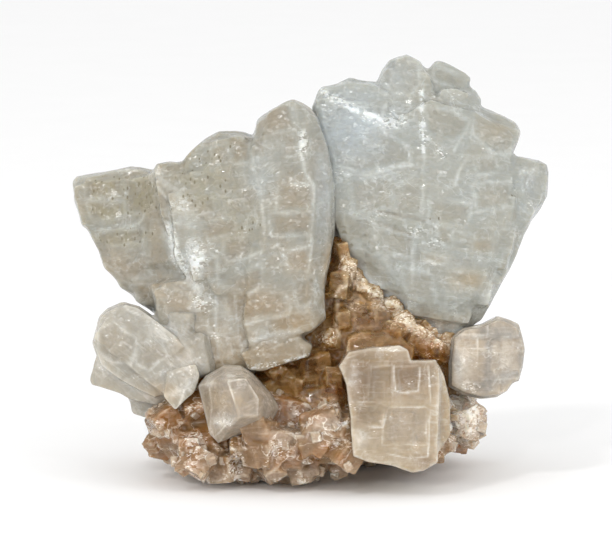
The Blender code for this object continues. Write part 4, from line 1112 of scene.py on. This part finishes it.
SPIRE_SALT = dict(share=0.78, gloss=0.2, soak=6.0, clear_gloss=0.2, cast=0.5, vary=0.35, lines=0.04,
                  streaks=0.07, deep=0.004, threads=0.15, facets=0.6, amber=(0.44, 0.325, 0.185))
SALTS = {
    "milky": dict(SPIRE_SALT, milk=(0.36, 0.36, 0.315), pane=(0.325, 0.272, 0.19), glass=(0.8, 0.8, 0.75),
                  frost=(0.74, 0.76, 0.74), soak_colour=(0.5, 0.47, 0.36)),
    "white": dict(SPIRE_SALT, milk=(0.385, 0.4, 0.365), pane=(0.39, 0.37, 0.3), glass=(0.8, 0.8, 0.8),
                  frost=(0.74, 0.77, 0.77), soak_colour=(0.5, 0.5, 0.45), amber=(0.47, 0.37, 0.22)),
    "clear": dict(milk=(0.62, 0.53, 0.42), pane=(0.6, 0.48, 0.34), amber=(0.68, 0.47, 0.2),
                  glass=(0.97, 0.92, 0.83), frost=(0.74, 0.71, 0.65), share=0.6, gloss=0.12, soak=6.0,
                  soak_colour=(0.6, 0.5, 0.38), facets=0.15, lines=0.1, clear_gloss=0.06, cast=0.4,
                  vary=0.6),
    "beige": dict(milk=(0.425, 0.405, 0.35), pane=(0.41, 0.36, 0.275), amber=(0.5, 0.36, 0.2),
                  glass=(0.93, 0.88, 0.78), frost=(0.75, 0.74, 0.71), share=0.8, gloss=0.15, soak=8.0,
                  soak_colour=(0.6, 0.5, 0.36), lines=0.05, clear_gloss=0.12, cast=0.6, vary=0.6,
                  threads=0.12),
    "brown": dict(milk=(0.72, 0.43, 0.15), pane=(0.55, 0.27, 0.05), amber=(0.7, 0.29, 0.02),
                  glass=(0.9, 0.55, 0.19), frost=(0.85, 0.79, 0.67), share=0.25, gloss=0.1, soak=20.0,
                  soak_colour=(0.72, 0.44, 0.17), facets=0.6, dark=(0.2, 0.09, 0.025), clear_gloss=0.04,
                  lines=0.08, threads=0.25),
    "crust": dict(milk=(0.5, 0.3, 0.14), pane=(0.43, 0.24, 0.09), amber=(0.52, 0.22, 0.04),
                  glass=(0.95, 0.75, 0.5), frost=(0.86, 0.8, 0.71), share=0.42, gloss=0.12, soak=12.0,
                  soak_colour=(0.7, 0.5, 0.3), facets=0.6, dark=(0.3, 0.15, 0.06), clear_gloss=0.05,
                  lines=0.12, cast=0.3, vary=0.7, threads=0.5),
}


def finish(piece, kind, spin=0.0, **changes):
    """The finish of one piece, its growth cells turned with the crystal."""
    return salt(f"{piece}_salt", spin, **{**SALTS[kind], **changes})


# ---------------------------------------------------------------- the crystals
def put(piece):
    """Hands over a finished piece of the cluster."""
    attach(piece, "root")
    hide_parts("halite_cluster")
    return piece


def cubes_into(heap, cubes):
    """Adds growth cubes listed as (middle, size, turn in degrees, seed)."""
    for at, size, turn, seed in cubes:
        heap.growth_cube(at, size, turn, seed)


def tints(held, skin, patches):
    """Soft patches, listed as (word, spots) in the order they are laid."""
    for word, spots in patches:
        tint(held, skin, word, spots)


def traces(held, skin, word, lines):
    """Tints along lines, listed as (line, width, amount)."""
    for line, wide, much in lines:
        trace(held, skin, word, line, wide, much)


def grow_left_spire():
    """The flat blade, the two columns of the left spire and the neck they grow out of, one skin."""
    heap = Heap()
    heap.stack(BLADE, mid=5.0, front=8.5, rear=8.0, rim=3.5, spin=8, pitch=(5.5, 4.5), scatter=0.6, seed=3)
    heap.stack(LEFT_COLUMN, mid=-3.0, front=14.0, rear=12.0, rim=5.0, spin=12, pitch=(5.5, 4.8), scatter=0.6,
               seed=5, reach=8.0)
    flat = tidy(clip(RIGHT_COLUMN, (0.3, 60.0), (0.02, 1.0)))
    facet = tidy(clip(RIGHT_COLUMN, (-1.2, 60.0), (0.0, -1.0)))
    heap.stack(flat, mid=-5.0, front=14.5, rear=14.0, rim=6.0, spin=3, pitch=(6.0, 5.0), scatter=0.5, seed=6,
               reach=3.0, crest=(0.3, 0.1, 0.0), bed=2)
    heap.stack(facet, mid=-5.0, front=14.5, rear=13.0, rim=6.5, spin=1, pitch=(12.0, 11.0), scatter=0.4,
               seed=9, reach=1.2, crest=(-0.6, 0.0, 0.9), bed=0)
    heap.block(at=(-13.0, -5.5, 66.0), size=(14.0, 21.5, 40.0), turn=(2, 3, -3), taper=0.15)
    heap.hull(BLADE_TO_COLUMN)
    heap.hull(BLADE_TO_NECK)
    heap.stack(NECK, mid=-1.0, front=13.5, rear=12.0, rim=9.0, spin=-5, pitch=(5.5, 5.0), scatter=0.5,
               seed=17, reach=5.0)
    heap.prism(SHELF, front=-19.0, back=4.0, chamfer=0.9, slope=(0.05, 0.2))
    skin = Skin(heap, grain=0.47, rounds=3)
    skin.calm(rounds=40, share=0.6)
    skin.fill(rounds=25)
    blade = skin.within(BLADE) * smooth(-7.0, -5.0, skin.co[:, 1])
    spin = 8 * blade + 12 * skin.within(LEFT_COLUMN) - 5 * skin.within(NECK)
    held = dress(skin, spin, LEFT_SPIRE_CELLS + NECK_CELLS + BLADE_CELLS, LEFT_SPIRE_SEAMS + BLADE_SEAMS,
                 BLADE_CRACKS, seed=23, creases=-0.35)
    tints(held, skin, (
        ("dirt", [(-50, 75, 6, 3, 1), (-42.5, 73, 4, 5, 1), (-50, 69, 6, 3, 0.9), (-46, 62.5, 7, 2, 0.9),
                  (-26, 76, 9, 9, 0.6), (-16, 68, 9, 8, 0.4), (-20, 85, 6, 4, 0.3), (-31, 80, 3, 3, 0.5)]),
        # The shelf is painted darker and browner.
        ("pane", [(-7.5, 33.5, 8, 2.5, 1.0)]),
        ("cracks_and_shade", [(-7.5, 33.5, 8, 2.5, 1.7)]),
        ("cool", [(3.5, 74, 2.5, 12, 0.6), (-12, 76, 3, 8, 0.4), (-48, 66, 5, 2.2, 0.15)]),
        ("warm", [(-46, 56, 9, 5, 0.3), (-38, 50, 6, 5, 0.4), (-38, 64, 2, 8, 0.3), (-5, 72, 5, 5, 0.15),
                  (5.5, 52, 2, 8, 0.9), (-12, 46, 9, 5, 0.6), (-4, 41, 7, 4, 0.8), (-3, 56, 4, 4, 0.4),
                  (-24, 29, 3, 3, 1.0), (-8, 33, 9, 4, 1.0), (-30, 42, 7, 8, 0.6), (-20, 32, 9, 9, 0.8)]),
        # The frost patch on the neck at (-30, 42) is painted light against the shade under the columns.
        ("frost", [(-28.5, 57, 3, 5, 0.8), (-31, 68, 3.5, 3.5, 0.6), (-20.5, 39, 2.6, 8, 0.5),
                   (-30, 42, 7, 7, 0.25), (-12, 39, 6, 2, 0.3), (-45, 54, 6, 5, 0.25)]),
        ("glint", [(-28, 57, 2.2, 3, 0.9), (-31.5, 70.5, 1.5, 1.5, 0.8), (-26.5, 46, 3, 2, 0.6)]),
    ))
    traces(held, skin, "glint", (
        ([(-1.8, 88), (-1.5, 83.5)], 0.9, 0.9),
        ([(-34.5, 65), (-33, 58), (-31, 54)], 1.0, 0.7),
        ([(-15, 30.5), (-10, 31), (-5, 32), (0.0, 33.5)], 0.6, 0.8),
    ))
    traces(held, skin, "frost", (
        (BLADE[:6], 1.2, 0.5),
        ([(-35, 65), (-33, 58), (-31, 54), (-28, 50)], 1.4, 0.8),
        ([(-16, 36.5), (-10, 38.5), (-2.5, 39.5)], 0.8, 0.7),
        ([(-23.2, 48), (-23, 38), (-22.5, 33)], 0.5, 0.6),
        ([(-18.5, 48), (-17.8, 40), (-16.5, 34)], 0.5, 0.6),
    ))
    put(skin.make("left_spire", finish("left_spire", "milky", 8), held))


def grow_right_spire():
    """The big body with the bluish block, the peak, the tilted cap, the ledges and the wing, one skin."""
    heap = Heap()
    heap.stack(BODY, mid=6.0, front=16.5, rear=14.5, rim=5.5, spin=-9, pitch=(5.5, 4.5), scatter=0.5, seed=8,
               reach=13.0)
    heap.hull([(x, depth, w) for worn, depth in BODY_SKIRT for x, w in inset(BODY, worn)])
    for fill in (BODY_TO_COLUMN, BLUE_TO_BODY, LEDGE_TO_BODY, WING_TO_BODY):
        heap.hull(fill)
    heap.stack(BLUE_BLOCK, mid=5.0, front=11.5, rear=9.5, rim=6.0, spin=-4, pitch=(6.5, 5.5), scatter=0.4,
               seed=9)
    heap.stack(PEAK, mid=5.5, front=9.0, rear=9.0, rim=6.0, spin=-6, pitch=(5.5, 5.0), scatter=0.5, seed=10,
               reach=5.0)
    heap.prism(CAP, front=0.5, back=11.0, chamfer=0.9, slope=(0.08, 0.1))
    heap.stack(LEDGE_BLOCK, mid=6.0, front=10.5, rear=9.5, rim=5.5, spin=-22, pitch=(6.0, 4.5), scatter=0.6,
               seed=11, reach=6.0)
    heap.stack(WING, mid=7.0, front=9.0, rear=8.5, rim=6.0, spin=-10, pitch=(6.0, 5.0), scatter=0.5, seed=12,
               reach=5.0)
    skin = Skin(heap, grain=0.45, rounds=3)
    skin.calm(rounds=50, share=0.7)
    skin.fill(rounds=25)
    spin = -9 - 13 * skin.within(LEDGE_BLOCK)
    held = dress(skin, spin, BODY_CELLS + UPPER_CELLS, BODY_SEAMS, BODY_CRACKS, seed=37, creases=-0.45)
    tints(held, skin, (
        ("warm", [(6, 55, 3, 9, 1.0), (39, 52, 5, 2.5, 0.65), (43, 60.5, 3, 2, 0.4), (31, 57, 4, 1.5, 0.25),
                  (28, 41, 12, 2.5, 0.6), (47, 89, 4, 2.5, 0.25)]),
        ("dirt", [(30, 66, 8, 4, 0.3), (52, 73, 4, 2, 0.4)]),
        ("cool", [(10, 90, 9, 9, 1.0), (22, 103, 4, 4, 0.5), (55, 74, 3, 5, 0.6)]),
        ("glint", [(20.5, 91.5, 4, 2, 0.8), (10.5, 94.5, 1.2, 1, 0.8), (29, 87, 1, 1, 1),
                   (33, 83.5, 1, 1, 1), (27, 64, 2.5, 1.5, 0.5), (31, 61, 2, 1.2, 0.5)]),
    ))
    traces(held, skin, "glint", (
        ([(28, 99), (28, 92), (28.2, 84)], 0.7, 0.8),
        ([(2.5, 99.5), (7, 97), (10, 95), (18, 92), (22, 90.5)], 0.9, 0.8),
        ([(14, 50.5), (20, 46.5), (26, 41), (31, 38)], 1.2, 0.8),
    ))
    traces(held, skin, "frost", (
        ([(10, 57), (14, 51.5), (20, 47.5), (26, 42), (31, 38.5), (34, 37.5)], 1.3, 0.6),
        # The wide band along the bottom of the body is frost and painted light against the shade on its
        # downward faces.
        ([(10, 56), (16, 50), (24, 43.5), (31, 39.5), (38, 40), (44, 43.5), (48, 50)], 3.0, 0.5),
    ))
    put(skin.make("right_spire", finish("right_spire", "white", -9), held))


def grow_left_block():
    """The rounded crystal low on the left, its thin steps, and the cubes that tie it to the neck."""
    heap = Heap()
    heap.stack(LEFT_BLOCK, mid=-7.0, front=13.5, rear=12.0, rim=6.0, spin=-38, pitch=(7.0, 6.0), scatter=0.3,
               seed=13, reach=8.0)
    heap.prism(LEFT_STEP, front=-14.0, back=1.0, chamfer=1.0, slope=(0.0, 0.15))
    heap.prism(LEFT_FOOT, front=-11.0, back=3.0)
    heap.prism(PALE_STEP, front=-23.0, back=-8.0, chamfer=0.6, slope=(-0.1, 0.2))
    cubes_into(heap, NECK_CUBES)
    skin = Skin(heap, grain=0.42, rounds=2)
    skin.calm(rounds=40, share=0.6)
    skin.fill(rounds=12)
    held = dress(skin, -38, LEFT_BLOCK_CELLS, LEFT_BLOCK_SEAMS, sink=0.1, lip=0.05, seed=61, panes=0.1,
                 line=0.3, blocky=0.07, wavy=0.12, seamed=0.9, creases=-0.2)
    tints(held, skin, (
        ("warm", [(-36, 24, 5, 3, 0.5), (-31, 33, 4, 4, 0.3)]),
        ("frost", [(-35.5, 40, 4, 3, 0.5), (-31, 31, 3, 3, 0.5)]),
    ))
    # The pale rim along the outline is partly frost and partly painted light.
    trace(held, skin, "frost", LEFT_BLOCK + LEFT_BLOCK[:1], 0.9, 0.45)
    put(skin.make("left_block", finish("left_block", "beige", -38), held))


def grow_corner_crystal():
    """The clear cube that points a corner forward."""
    heap = Heap()
    ring = CORNER_CRYSTAL if area(CORNER_CRYSTAL) > 0 else CORNER_CRYSTAL[::-1]
    spots = [(x, -13.0, w) for x, w in ring] + [(x, -24.0 + 0.16 * (w - 12), w) for x, w in ring]
    heap.hull(spots + CORNER_FACET)
    skin = Skin(heap, grain=0.3, rounds=1)
    held = dress(skin, 20, seams=CORNER_SEAMS, seed=71, panes=0.0, blocky=0.03, wavy=0.05, line=0.28,
                 edges=1.0, seamed=1.1, creases=-0.3)
    tints(held, skin, (
        ("warm", [(-22, 23, 3, 3.5, 0.35), (-17, 22.5, 2, 2, 0.2)]),
        ("frost", [(-21.5, 17.5, 3, 1.5, 0.8), (-24.5, 27, 1.5, 1.2, 0.9), (-19.8, 28.5, 1.8, 1.2, 0.9),
                   (-18, 30.5, 5, 1.5, 0.6)]),
        ("cracks_and_shade", [(-25.5, 19, 1.6, 6, 1.2)]),
        ("glint", [(-25, 14, 1, 1.5, 0.9), (-21, 17, 2.5, 1.0, 0.5)]),
    ))
    # The pale rim along the outline is partly frost and partly painted light.
    trace(held, skin, "frost", CORNER_CRYSTAL + CORNER_CRYSTAL[:1], 0.7, 0.65)
    salt_of_it = finish("front_corner_crystal", "clear", 20, share=0.6, milk=(0.47, 0.41, 0.335),
                        threads=0.2)
    put(skin.make("front_corner_crystal", salt_of_it, held))


def grow_front_cube():
    """The clear cube in front, with thin growth plates on its near face."""
    heap = Heap()
    heap.prism(CUBE_MAIN, front=-33.0, back=-9.0, chamfer=0.6, slope=(0.06, 0.02))
    heap.prism(CUBE_SIDE, front=-28.0, back=-8.0, chamfer=0.9)
    for at, size in FRONT_PLATES:
        heap.block(at, size, turn=(0, 0, 3), taper=0.04)
    skin = Skin(heap, grain=0.33, rounds=1)
    held = dress(skin, 0, FRONT_CUBE_CELLS, FRONT_CUBE_SEAMS, sink=0.12, lip=0.08, seed=81, panes=0.1,
                 blocky=0.05, wavy=0.06, line=0.24, edges=1.0, seamed=1.0, creases=-0.3)
    tints(held, skin, (
        ("warm", [(28, 7.5, 2.5, 2, 0.7), (13, 28, 5, 7, 1.0), (24, 29, 7, 5, 0.9), (23, 17, 6, 4, 0.25),
                  (13, 20, 3, 4, 0.5)]),
        ("frost", [(12.5, 13.5, 2, 2.5, 0.75), (10.5, 28, 1.5, 3.5, 0.5), (30.5, 18, 1.5, 9, 0.15),
                   (23, 16, 6, 6, 0.3), (20, 8, 9, 2, 0.15)]),
    ))
    # The pale rim along the outline is partly frost and partly painted light.
    trace(held, skin, "frost", CUBE_MAIN + CUBE_MAIN[:1], 0.7, 0.65)
    salt_of_it = finish("front_cube", "clear", 0, milk=(0.57, 0.455, 0.3), pane=(0.53, 0.41, 0.26),
                        amber=(0.31, 0.205, 0.11), glass=(0.95, 0.85, 0.69), frost=(0.73, 0.73, 0.715),
                        gloss=0.08, threads=0.12)
    put(skin.make("front_cube", salt_of_it, held))


def grow_right_block():
    """The clear cube low on the right."""
    heap = Heap()
    heap.stack(RIGHT_BLOCK, mid=-4.0, front=11.0, rear=11.0, rim=7.0, spin=2, pitch=(11.0, 13.0),
               scatter=0.4, seed=15, reach=3.0)
    skin = Skin(heap, grain=0.36, rounds=1)
    held = dress(skin, 2, RIGHT_BLOCK_CELLS, RIGHT_BLOCK_SEAMS, sink=0.08, lip=0.05, seed=91, panes=0.05,
                 blocky=0.04, wavy=0.08, line=0.28, edges=1.0, seamed=1.1, creases=-0.5)
    tints(held, skin, (
        ("frost", [(37.5, 32, 2.5, 5, 0.7), (48.5, 33, 3.5, 7, 0.55)]),
        ("glint", [(40, 25.5, 2, 1, 0.8)]),
    ))
    # The pale rim along the outline is partly frost and partly painted light.
    trace(held, skin, "frost", RIGHT_BLOCK + RIGHT_BLOCK[:1], 0.9, 0.5)
    salt_of_it = finish("right_block", "clear", 2, share=0.72, milk=(0.245, 0.225, 0.195),
                        glass=(0.76, 0.71, 0.64), threads=0.2)
    put(skin.make("right_block", salt_of_it, held))


def grow_inner_crystals():
    """The brown cubes between the spires and the base, with a crumbly edge under the big body."""
    heap = Heap()
    heap.prism(TAN_CUBE, front=-7.0, back=14.0, chamfer=0.5, slope=(0.1, 0.05))
    heap.prism(GREY_CUBE, front=-15.0, back=6.0, chamfer=0.5, slope=(0.05, 0.25))
    heap.prism(BROWN_CUBE, front=-7.0, back=14.0, chamfer=0.5, slope=(-0.1, 0.1))
    cubes_into(heap, INNER_CUBES)
    for i, (at, size, turn) in enumerate(BROWN_CUBES):
        heap.growth_cube(at, size, turn, 300 + i, plates=1)
    rng = random.Random(91)
    for _ in range(CRUMBS):
        i = rng.randrange(len(CRUMBLY_EDGE) - 1)
        k = rng.random()
        start, end = CRUMBLY_EDGE[i:i + 2]
        x, w = [a + (b - a) * k + rng.uniform(-1.1, 1.1) for a, b in zip(start, end)]
        side = rng.uniform(*CRUMB_SIDE)
        at = (x, rng.uniform(*CRUMB_DEPTH), w)
        size = (side, side * rng.uniform(0.8, 1.2), side * rng.uniform(0.8, 1.3))
        heap.block(at, size, [rng.uniform(0, 90) for _ in range(3)], taper=0.04)
    skin = Skin(heap, grain=0.38, rounds=1)
    held = dress(skin, 5, seed=111, panes=0.3, blocky=0.1, wavy=0.08, edges=1.0, creases=0.8, line=0.3)
    tints(held, skin, (
        ("warm", [(30, 34, 7, 5, 0.9), (2, 33, 5, 4, 0.4), (8, 24.5, 4, 1.5, 1.0)]),
        ("glint", [(4, 37.5, 2, 1.5, 0.9), (4, 22, 1.5, 1.2, 0.9), (12, 46, 3, 2, 0.4)]),
    ))
    traces(held, skin, "frost", (
        ([(6, 47), (7.5, 50), (11.5, 51), (17, 48), (23, 45)], 0.6, 1.0),
        ([(7, 46), (6.5, 40), (9.5, 34.5)], 0.5, 0.8),
        (CRUMBLY_EDGE, 2.4, 0.6),
    ))
    trace(held, skin, "glint", CRUMBLY_EDGE, 2.4, 0.4)
    put(skin.make("inner_cubes", finish("inner_cubes", "brown", 5), held))


def grow_rear_crystals():
    """The cubes that stand out of the far side."""
    heap = Heap()
    for i, (at, size, turn) in enumerate(REAR_BLOCKS):
        heap.growth_cube(at, size, turn, 200 + i)
    skin = Skin(heap, grain=0.6, rounds=1)
    held = dress(skin, 5, seed=121, panes=0.15, blocky=0.12, wavy=0.15)
    tint(held, skin, "warm", [(0, 10, 50, 16, 0.6)])
    put(skin.make("rear_cubes", finish("rear_cubes", "beige", 5), held))


def grow_base():
    """The crust of small intergrown cubes: its near side and its far side."""
    front = Heap()
    front.prism(BASE_FRONT, front=-16.0, back=12.0, chamfer=3.0)
    rear = Heap()
    rear.prism(BASE_REAR, front=3.0, back=25.0, chamfer=3.5)
    for at, radii, seed in BASE_LUMPS:
        (rear if at[1] > 0 else front).lump(at, radii, seed, corners=22)
    cubes_into(front, BASE_CUBES)
    for mid, spread, size, count, seed in DRUSE_ZONES:
        rng = random.Random(seed)
        for _ in range(count):
            at = [m + rng.uniform(-s, s) for m, s in zip(mid, spread)]
            side = rng.uniform(*size)
            turn = [rng.uniform(0, 90) for _ in range(3)]
            shape = (side, side * rng.uniform(0.8, 1.2), side * rng.uniform(0.8, 1.2))
            (rear if mid[1] > 0 else front).block(at, shape, turn, taper=0.04)
    crusts = []
    for name, heap, grain, seed in (("front_crust", front, 0.42, 131), ("rear_crust", rear, 0.62, 132)):
        skin = Skin(heap, grain, rounds=1)
        held = dress(skin, 0, seed=seed, panes=0.2, blocky=0.1, wavy=0.1, edges=1.0, creases=0.8, line=0.3)
        held["warm"] = 0.8 * smooth(0.1, 0.6, cloud(skin.co, 6.0, 5))
        held["glint"] = 0.7 * smooth(0.2, 0.6, cloud(skin.co, 5.0, 9))
        tints(held, skin, (
            ("warm", [(4, 11, 1.5, 1.5, 1.0), (1.5, 8.5, 1.2, 2, 1.0)]),
            ("glint", [(38, 19, 4, 6, 0.9)]),
            # The wide band low down at (-8, 3) is painted light against the shade by the table; the near
            # right at (38, 19) is frost and painted light.
            ("frost", [(-8, 3, 28, 3, 0.55), (38, 19, 6, 8, 1.0), (-7, 14, 5, 2, 0.5), (3, 17, 4, 3, 0.6)]),
        ))
        crusts.append(put(skin.make(name, finish(name, "crust", 0), held)))
    return crusts


# ---------------------------------------------------------------- the druse
# Metres: the druse starts just above the table and thins out up the crust. It is frosted whitest at the near
# right, partly as painted light against the shade there, and painted lighter low down as painted light
# against the shade by the table.
DRUSE_STARTS = (0.0008, 0.002)
DRUSE_ENDS = (0.022, 0.034)
FROSTED_AND_LIT_RIGHT = (0.031, 0.037)
FROSTED_AND_LIT_NEAR = (0.012, 0.0)
PAINTED_LIGHT_LOW = (0.008, 0.002)
CUBES_PER_M2 = 40000.0
SMALLEST_CUBE = 0.0007
LARGEST_CUBE = 0.0026
CUBE_SUNK = 0.0005
FEW_LARGE = 2.2
FULL_TURN = 6.28


def small_cubes():
    """A few worn little cubes for the druse to pick from, one metre across, frosted along their edges."""
    group = bpy.data.collections.new("small_cubes")
    rng = random.Random(7)
    for i in range(5):
        bm = bmesh.new()
        bmesh.ops.create_cube(bm, size=1.0)
        size = Vector((1.0, rng.uniform(0.7, 1.1), rng.uniform(0.6, 1.2)))
        for v in bm.verts:
            v.co = v.co * size + Vector([rng.uniform(-0.06, 0.06) for _ in range(3)])
        broad = bm.faces[:]
        bmesh.ops.inset_individual(bm, faces=broad, thickness=0.1, depth=0.04)
        plain = {v for f in broad for v in f.verts}
        mark = bm.verts.layers.float.new("frost")
        for v in bm.verts:
            v[mark] = 0.1 if v in plain else 0.6
        mesh = bpy.data.meshes.new(f"small_cube_{i}")
        bm.to_mesh(mesh)
        bm.free()
        group.objects.link(bpy.data.objects.new(f"small_cube_{i}", mesh))
    return group


def druse_tree():
    """Strews small cubes at all angles over the crust."""
    tree = bpy.data.node_groups.new("druse", "GeometryNodeTree")
    face = tree.interface
    sockets = {}
    for word, kind in (("Crust", "Geometry"), ("Cubes", "Collection"), ("Density", "Float"),
                       ("Smallest", "Float"), ("Largest", "Float"), ("Seed", "Int"), ("Finish", "Material")):
        sockets[word] = face.new_socket(word, in_out="INPUT", socket_type=f"NodeSocket{kind}").identifier
    face.new_socket("Druse", in_out="OUTPUT", socket_type="NodeSocketGeometry")
    nodes, links = tree.nodes, tree.links

    def add(kind, settings, values):
        node = nodes.new(kind)
        for word, value in settings.items():
            setattr(node, word, value)
        for word, value in values.items():
            if isinstance(value, bpy.types.NodeSocket):
                links.new(value, node.inputs[word])
            else:
                node.inputs[word].default_value = value
        return node

    given = nodes.new("NodeGroupInput").outputs
    thick = add("GeometryNodeInputNamedAttribute", {"data_type": "FLOAT"}, {"Name": "druse"})
    per_area = add("ShaderNodeMath", {"operation": "MULTIPLY"}, {0: thick.outputs[0], 1: given["Density"]})
    spots = add("GeometryNodeDistributePointsOnFaces", {"distribute_method": "RANDOM"},
                {"Mesh": given["Crust"], "Density": per_area.outputs[0], "Seed": given["Seed"]})
    inward = add("ShaderNodeVectorMath", {"operation": "MULTIPLY"},
                 {0: spots.outputs["Normal"], 1: (-CUBE_SUNK,) * 3})
    sunk = add("GeometryNodeSetPosition", {},
               {"Geometry": spots.outputs["Points"], "Offset": inward.outputs[0]})
    dice = add("FunctionNodeRandomValue", {"data_type": "FLOAT"}, {"Seed": given["Seed"]})
    bent = add("ShaderNodeMath", {"operation": "POWER"}, {0: dice.outputs[1], 1: FEW_LARGE})
    size = add("ShaderNodeMapRange", {},
               {"Value": bent.outputs[0], "To Min": given["Smallest"], "To Max": given["Largest"]})
    turn = add("FunctionNodeRandomValue", {"data_type": "FLOAT_VECTOR"},
               {"Max": (FULL_TURN, FULL_TURN, FULL_TURN), "Seed": 3})
    kinds = add("GeometryNodeCollectionInfo", {}, {"Collection": given["Cubes"], "Separate Children": True})
    stood = add("GeometryNodeInstanceOnPoints", {}, {
        "Points": sunk.outputs[0], "Instance": kinds.outputs[0], "Pick Instance": True,
        "Rotation": turn.outputs[0], "Scale": size.outputs[0]})
    real = add("GeometryNodeRealizeInstances", {}, {"Geometry": stood.outputs[0]})
    painted = add("GeometryNodeSetMaterial", {}, {"Geometry": real.outputs[0], "Material": given["Finish"]})
    out = nodes.new("NodeGroupOutput")
    links.new(painted.outputs[0], out.inputs[0])
    return tree, sockets


def grow_druse(crusts):
    """Small cubes over the low parts of the crust, half sunk in it."""
    whole = bmesh.new()
    for crust in crusts:
        whole.from_mesh(crust.data)
    mesh = bpy.data.meshes.new("druse")
    whole.to_mesh(mesh)
    whole.free()
    ob = bpy.data.objects.new("druse", mesh)
    bpy.context.scene.collection.objects.link(ob)
    up = points_of(mesh)[:, 2]
    note(mesh, "druse", smooth(*DRUSE_STARTS, up) * (1 - smooth(*DRUSE_ENDS, up)))
    tree, sockets = druse_tree()
    mod = ob.modifiers.new("druse", "NODES")
    mod.node_group = tree
    for word, value in (("Cubes", small_cubes()), ("Density", CUBES_PER_M2), ("Smallest", SMALLEST_CUBE),
                        ("Largest", LARGEST_CUBE), ("Seed", 5),
                        ("Finish", finish("druse", "crust", 0, share=0.4))):
        mod[sockets[word]] = value
    graph = bpy.context.evaluated_depsgraph_get()
    grown = bpy.data.meshes.new_from_object(ob.evaluated_get(graph))
    ob.modifiers.clear()
    ob.data = grown
    grown.name = "druse"
    co = points_of(grown)
    co[:, 2] = np.maximum(co[:, 2], 0.0)
    grown.vertices.foreach_set("co", co.ravel())
    across, depth, up = co.T
    held = {word: np.zeros(len(co)) for word in WORDS}
    held["warm"] = 0.7 * smooth(0.15, 0.6, cloud(co / MM, 7.0, 5))
    frost = np.empty(len(co), dtype=np.float32)
    grown.attributes["frost"].data.foreach_get("value", frost)
    # Whiter at the near right, frost and painted light, and lighter low down, painted light.
    frost = np.maximum(frost, 0.8 * smooth(*FROSTED_AND_LIT_RIGHT, across) * smooth(*FROSTED_AND_LIT_NEAR, depth))
    held["frost"] = np.maximum(frost, 0.5 * smooth(*PAINTED_LIGHT_LOW, up))
    for word, values in held.items():
        note(grown, word, values)
    grown.update()
    put(ob)


# ---------------------------------------------------------------- setting
def set_the_table():
    """A pale table under the cluster, scenery only."""
    bm = bmesh.new()
    bmesh.ops.create_grid(bm, x_segments=1, y_segments=1, size=6.0)
    mesh = bpy.data.meshes.new("table_top")
    bm.to_mesh(mesh)
    bm.free()
    floor = bpy.data.objects.new("table_top", mesh)
    bpy.context.scene.collection.objects.link(floor)
    bench = Bench("pale_table")
    speckle = bench.noise(bench.place(), 40.0, 2.0)
    colour = bench.mixed(speckle, (0.93, 0.93, 0.93, 1), (0.95, 0.95, 0.95, 1))
    shader = bench.add("ShaderNodeBsdfPrincipled", {},
                       {"Base Color": colour, "Roughness": 0.8, "Specular IOR Level": 0.2})
    mesh.materials.append(bench.finished(shader))


def softbox(name, at, aim, size, power):
    """A rectangular lamp of `size` metres and `power` watts, turned to face `aim`."""
    data = bpy.data.lights.new(name, "AREA")
    data.shape = "RECTANGLE"
    data.size, data.size_y = size
    data.energy = power
    lamp = bpy.data.objects.new(name, data)
    lamp.location = at
    lamp.rotation_mode = "QUATERNION"
    lamp.rotation_quaternion = (Vector(aim) - Vector(at)).to_track_quat("-Z", "Y")
    bpy.context.scene.collection.objects.link(lamp)


STUDIO_LIGHT = 0.97
LAMPS = [
    # name, place, what it faces, size, power
    ("key", (-0.55, -0.75, 0.95), (0, 0, 0.05), (0.15, 0.15), 3.0),
    ("front", (0.1, -1.3, 0.12), (0, 0, 0.04), (0.9, 0.4), 1.2),
    ("side", (0.85, -0.6, 0.5), (0, 0, 0.05), (0.2, 0.3), 1.5),
    ("spark", (-0.25, -1.2, 0.45), (0, 0, 0.05), (0.04, 0.04), 1.6),
    ("spark_left", (-0.9, -0.9, 0.25), (0, 0, 0.05), (0.04, 0.04), 1.2),
    ("spark_right", (0.55, -1.1, 0.65), (0, 0, 0.05), (0.04, 0.04), 1.2),
]


def light_it():
    """White all round, and lamps for shape and sparkle."""
    world = bpy.data.worlds.new("studio")
    world.use_nodes = True
    studio = world.node_tree.nodes["Background"]
    studio.inputs["Color"].default_value = (1.0, 1.0, 1.0, 1.0)
    studio.inputs["Strength"].default_value = STUDIO_LIGHT
    bpy.context.scene.world = world
    for lamp in LAMPS:
        softbox(*lamp)


# The camera looks down by LEAN_DEG from CAMERA_AWAY metres, and its view is VIEW_WIDE metres across there.
SENSOR = 36.0
CAMERA_AWAY = 1.4
VIEW_WIDE = 0.153
VIEW_MIDDLE = (-0.001125, 0.004690, 0.050722)
VIEW_LOOK = (0.0, 0.990268, -0.139173)


def aim_camera():
    """Looks at the cluster square on to its drawn face."""
    data = bpy.data.cameras.new("camera")
    data.sensor_width = SENSOR
    data.lens = SENSOR * CAMERA_AWAY / VIEW_WIDE
    data.clip_end = 20.0
    camera = bpy.data.objects.new("camera", data)
    look = Vector(VIEW_LOOK)
    camera.location = Vector(VIEW_MIDDLE) - look * CAMERA_AWAY
    camera.rotation_mode = "QUATERNION"
    camera.rotation_quaternion = look.to_track_quat("-Z", "Y")
    bpy.context.scene.collection.objects.link(camera)
    bpy.context.scene.camera = camera


def main():
    aim_camera()
    light_it()
    set_the_table()
    grow_left_spire()
    grow_right_spire()
    grow_left_block()
    grow_corner_crystal()
    grow_front_cube()
    grow_right_block()
    grow_inner_crystals()
    grow_rear_crystals()
    grow_druse(grow_base())
    scene = bpy.context.scene
    scene.view_settings.view_transform = "Standard"
    scene.cycles.max_bounces = 14
    scene.cycles.transmission_bounces = 12
    scene.cycles.transparent_max_bounces = 8


main()
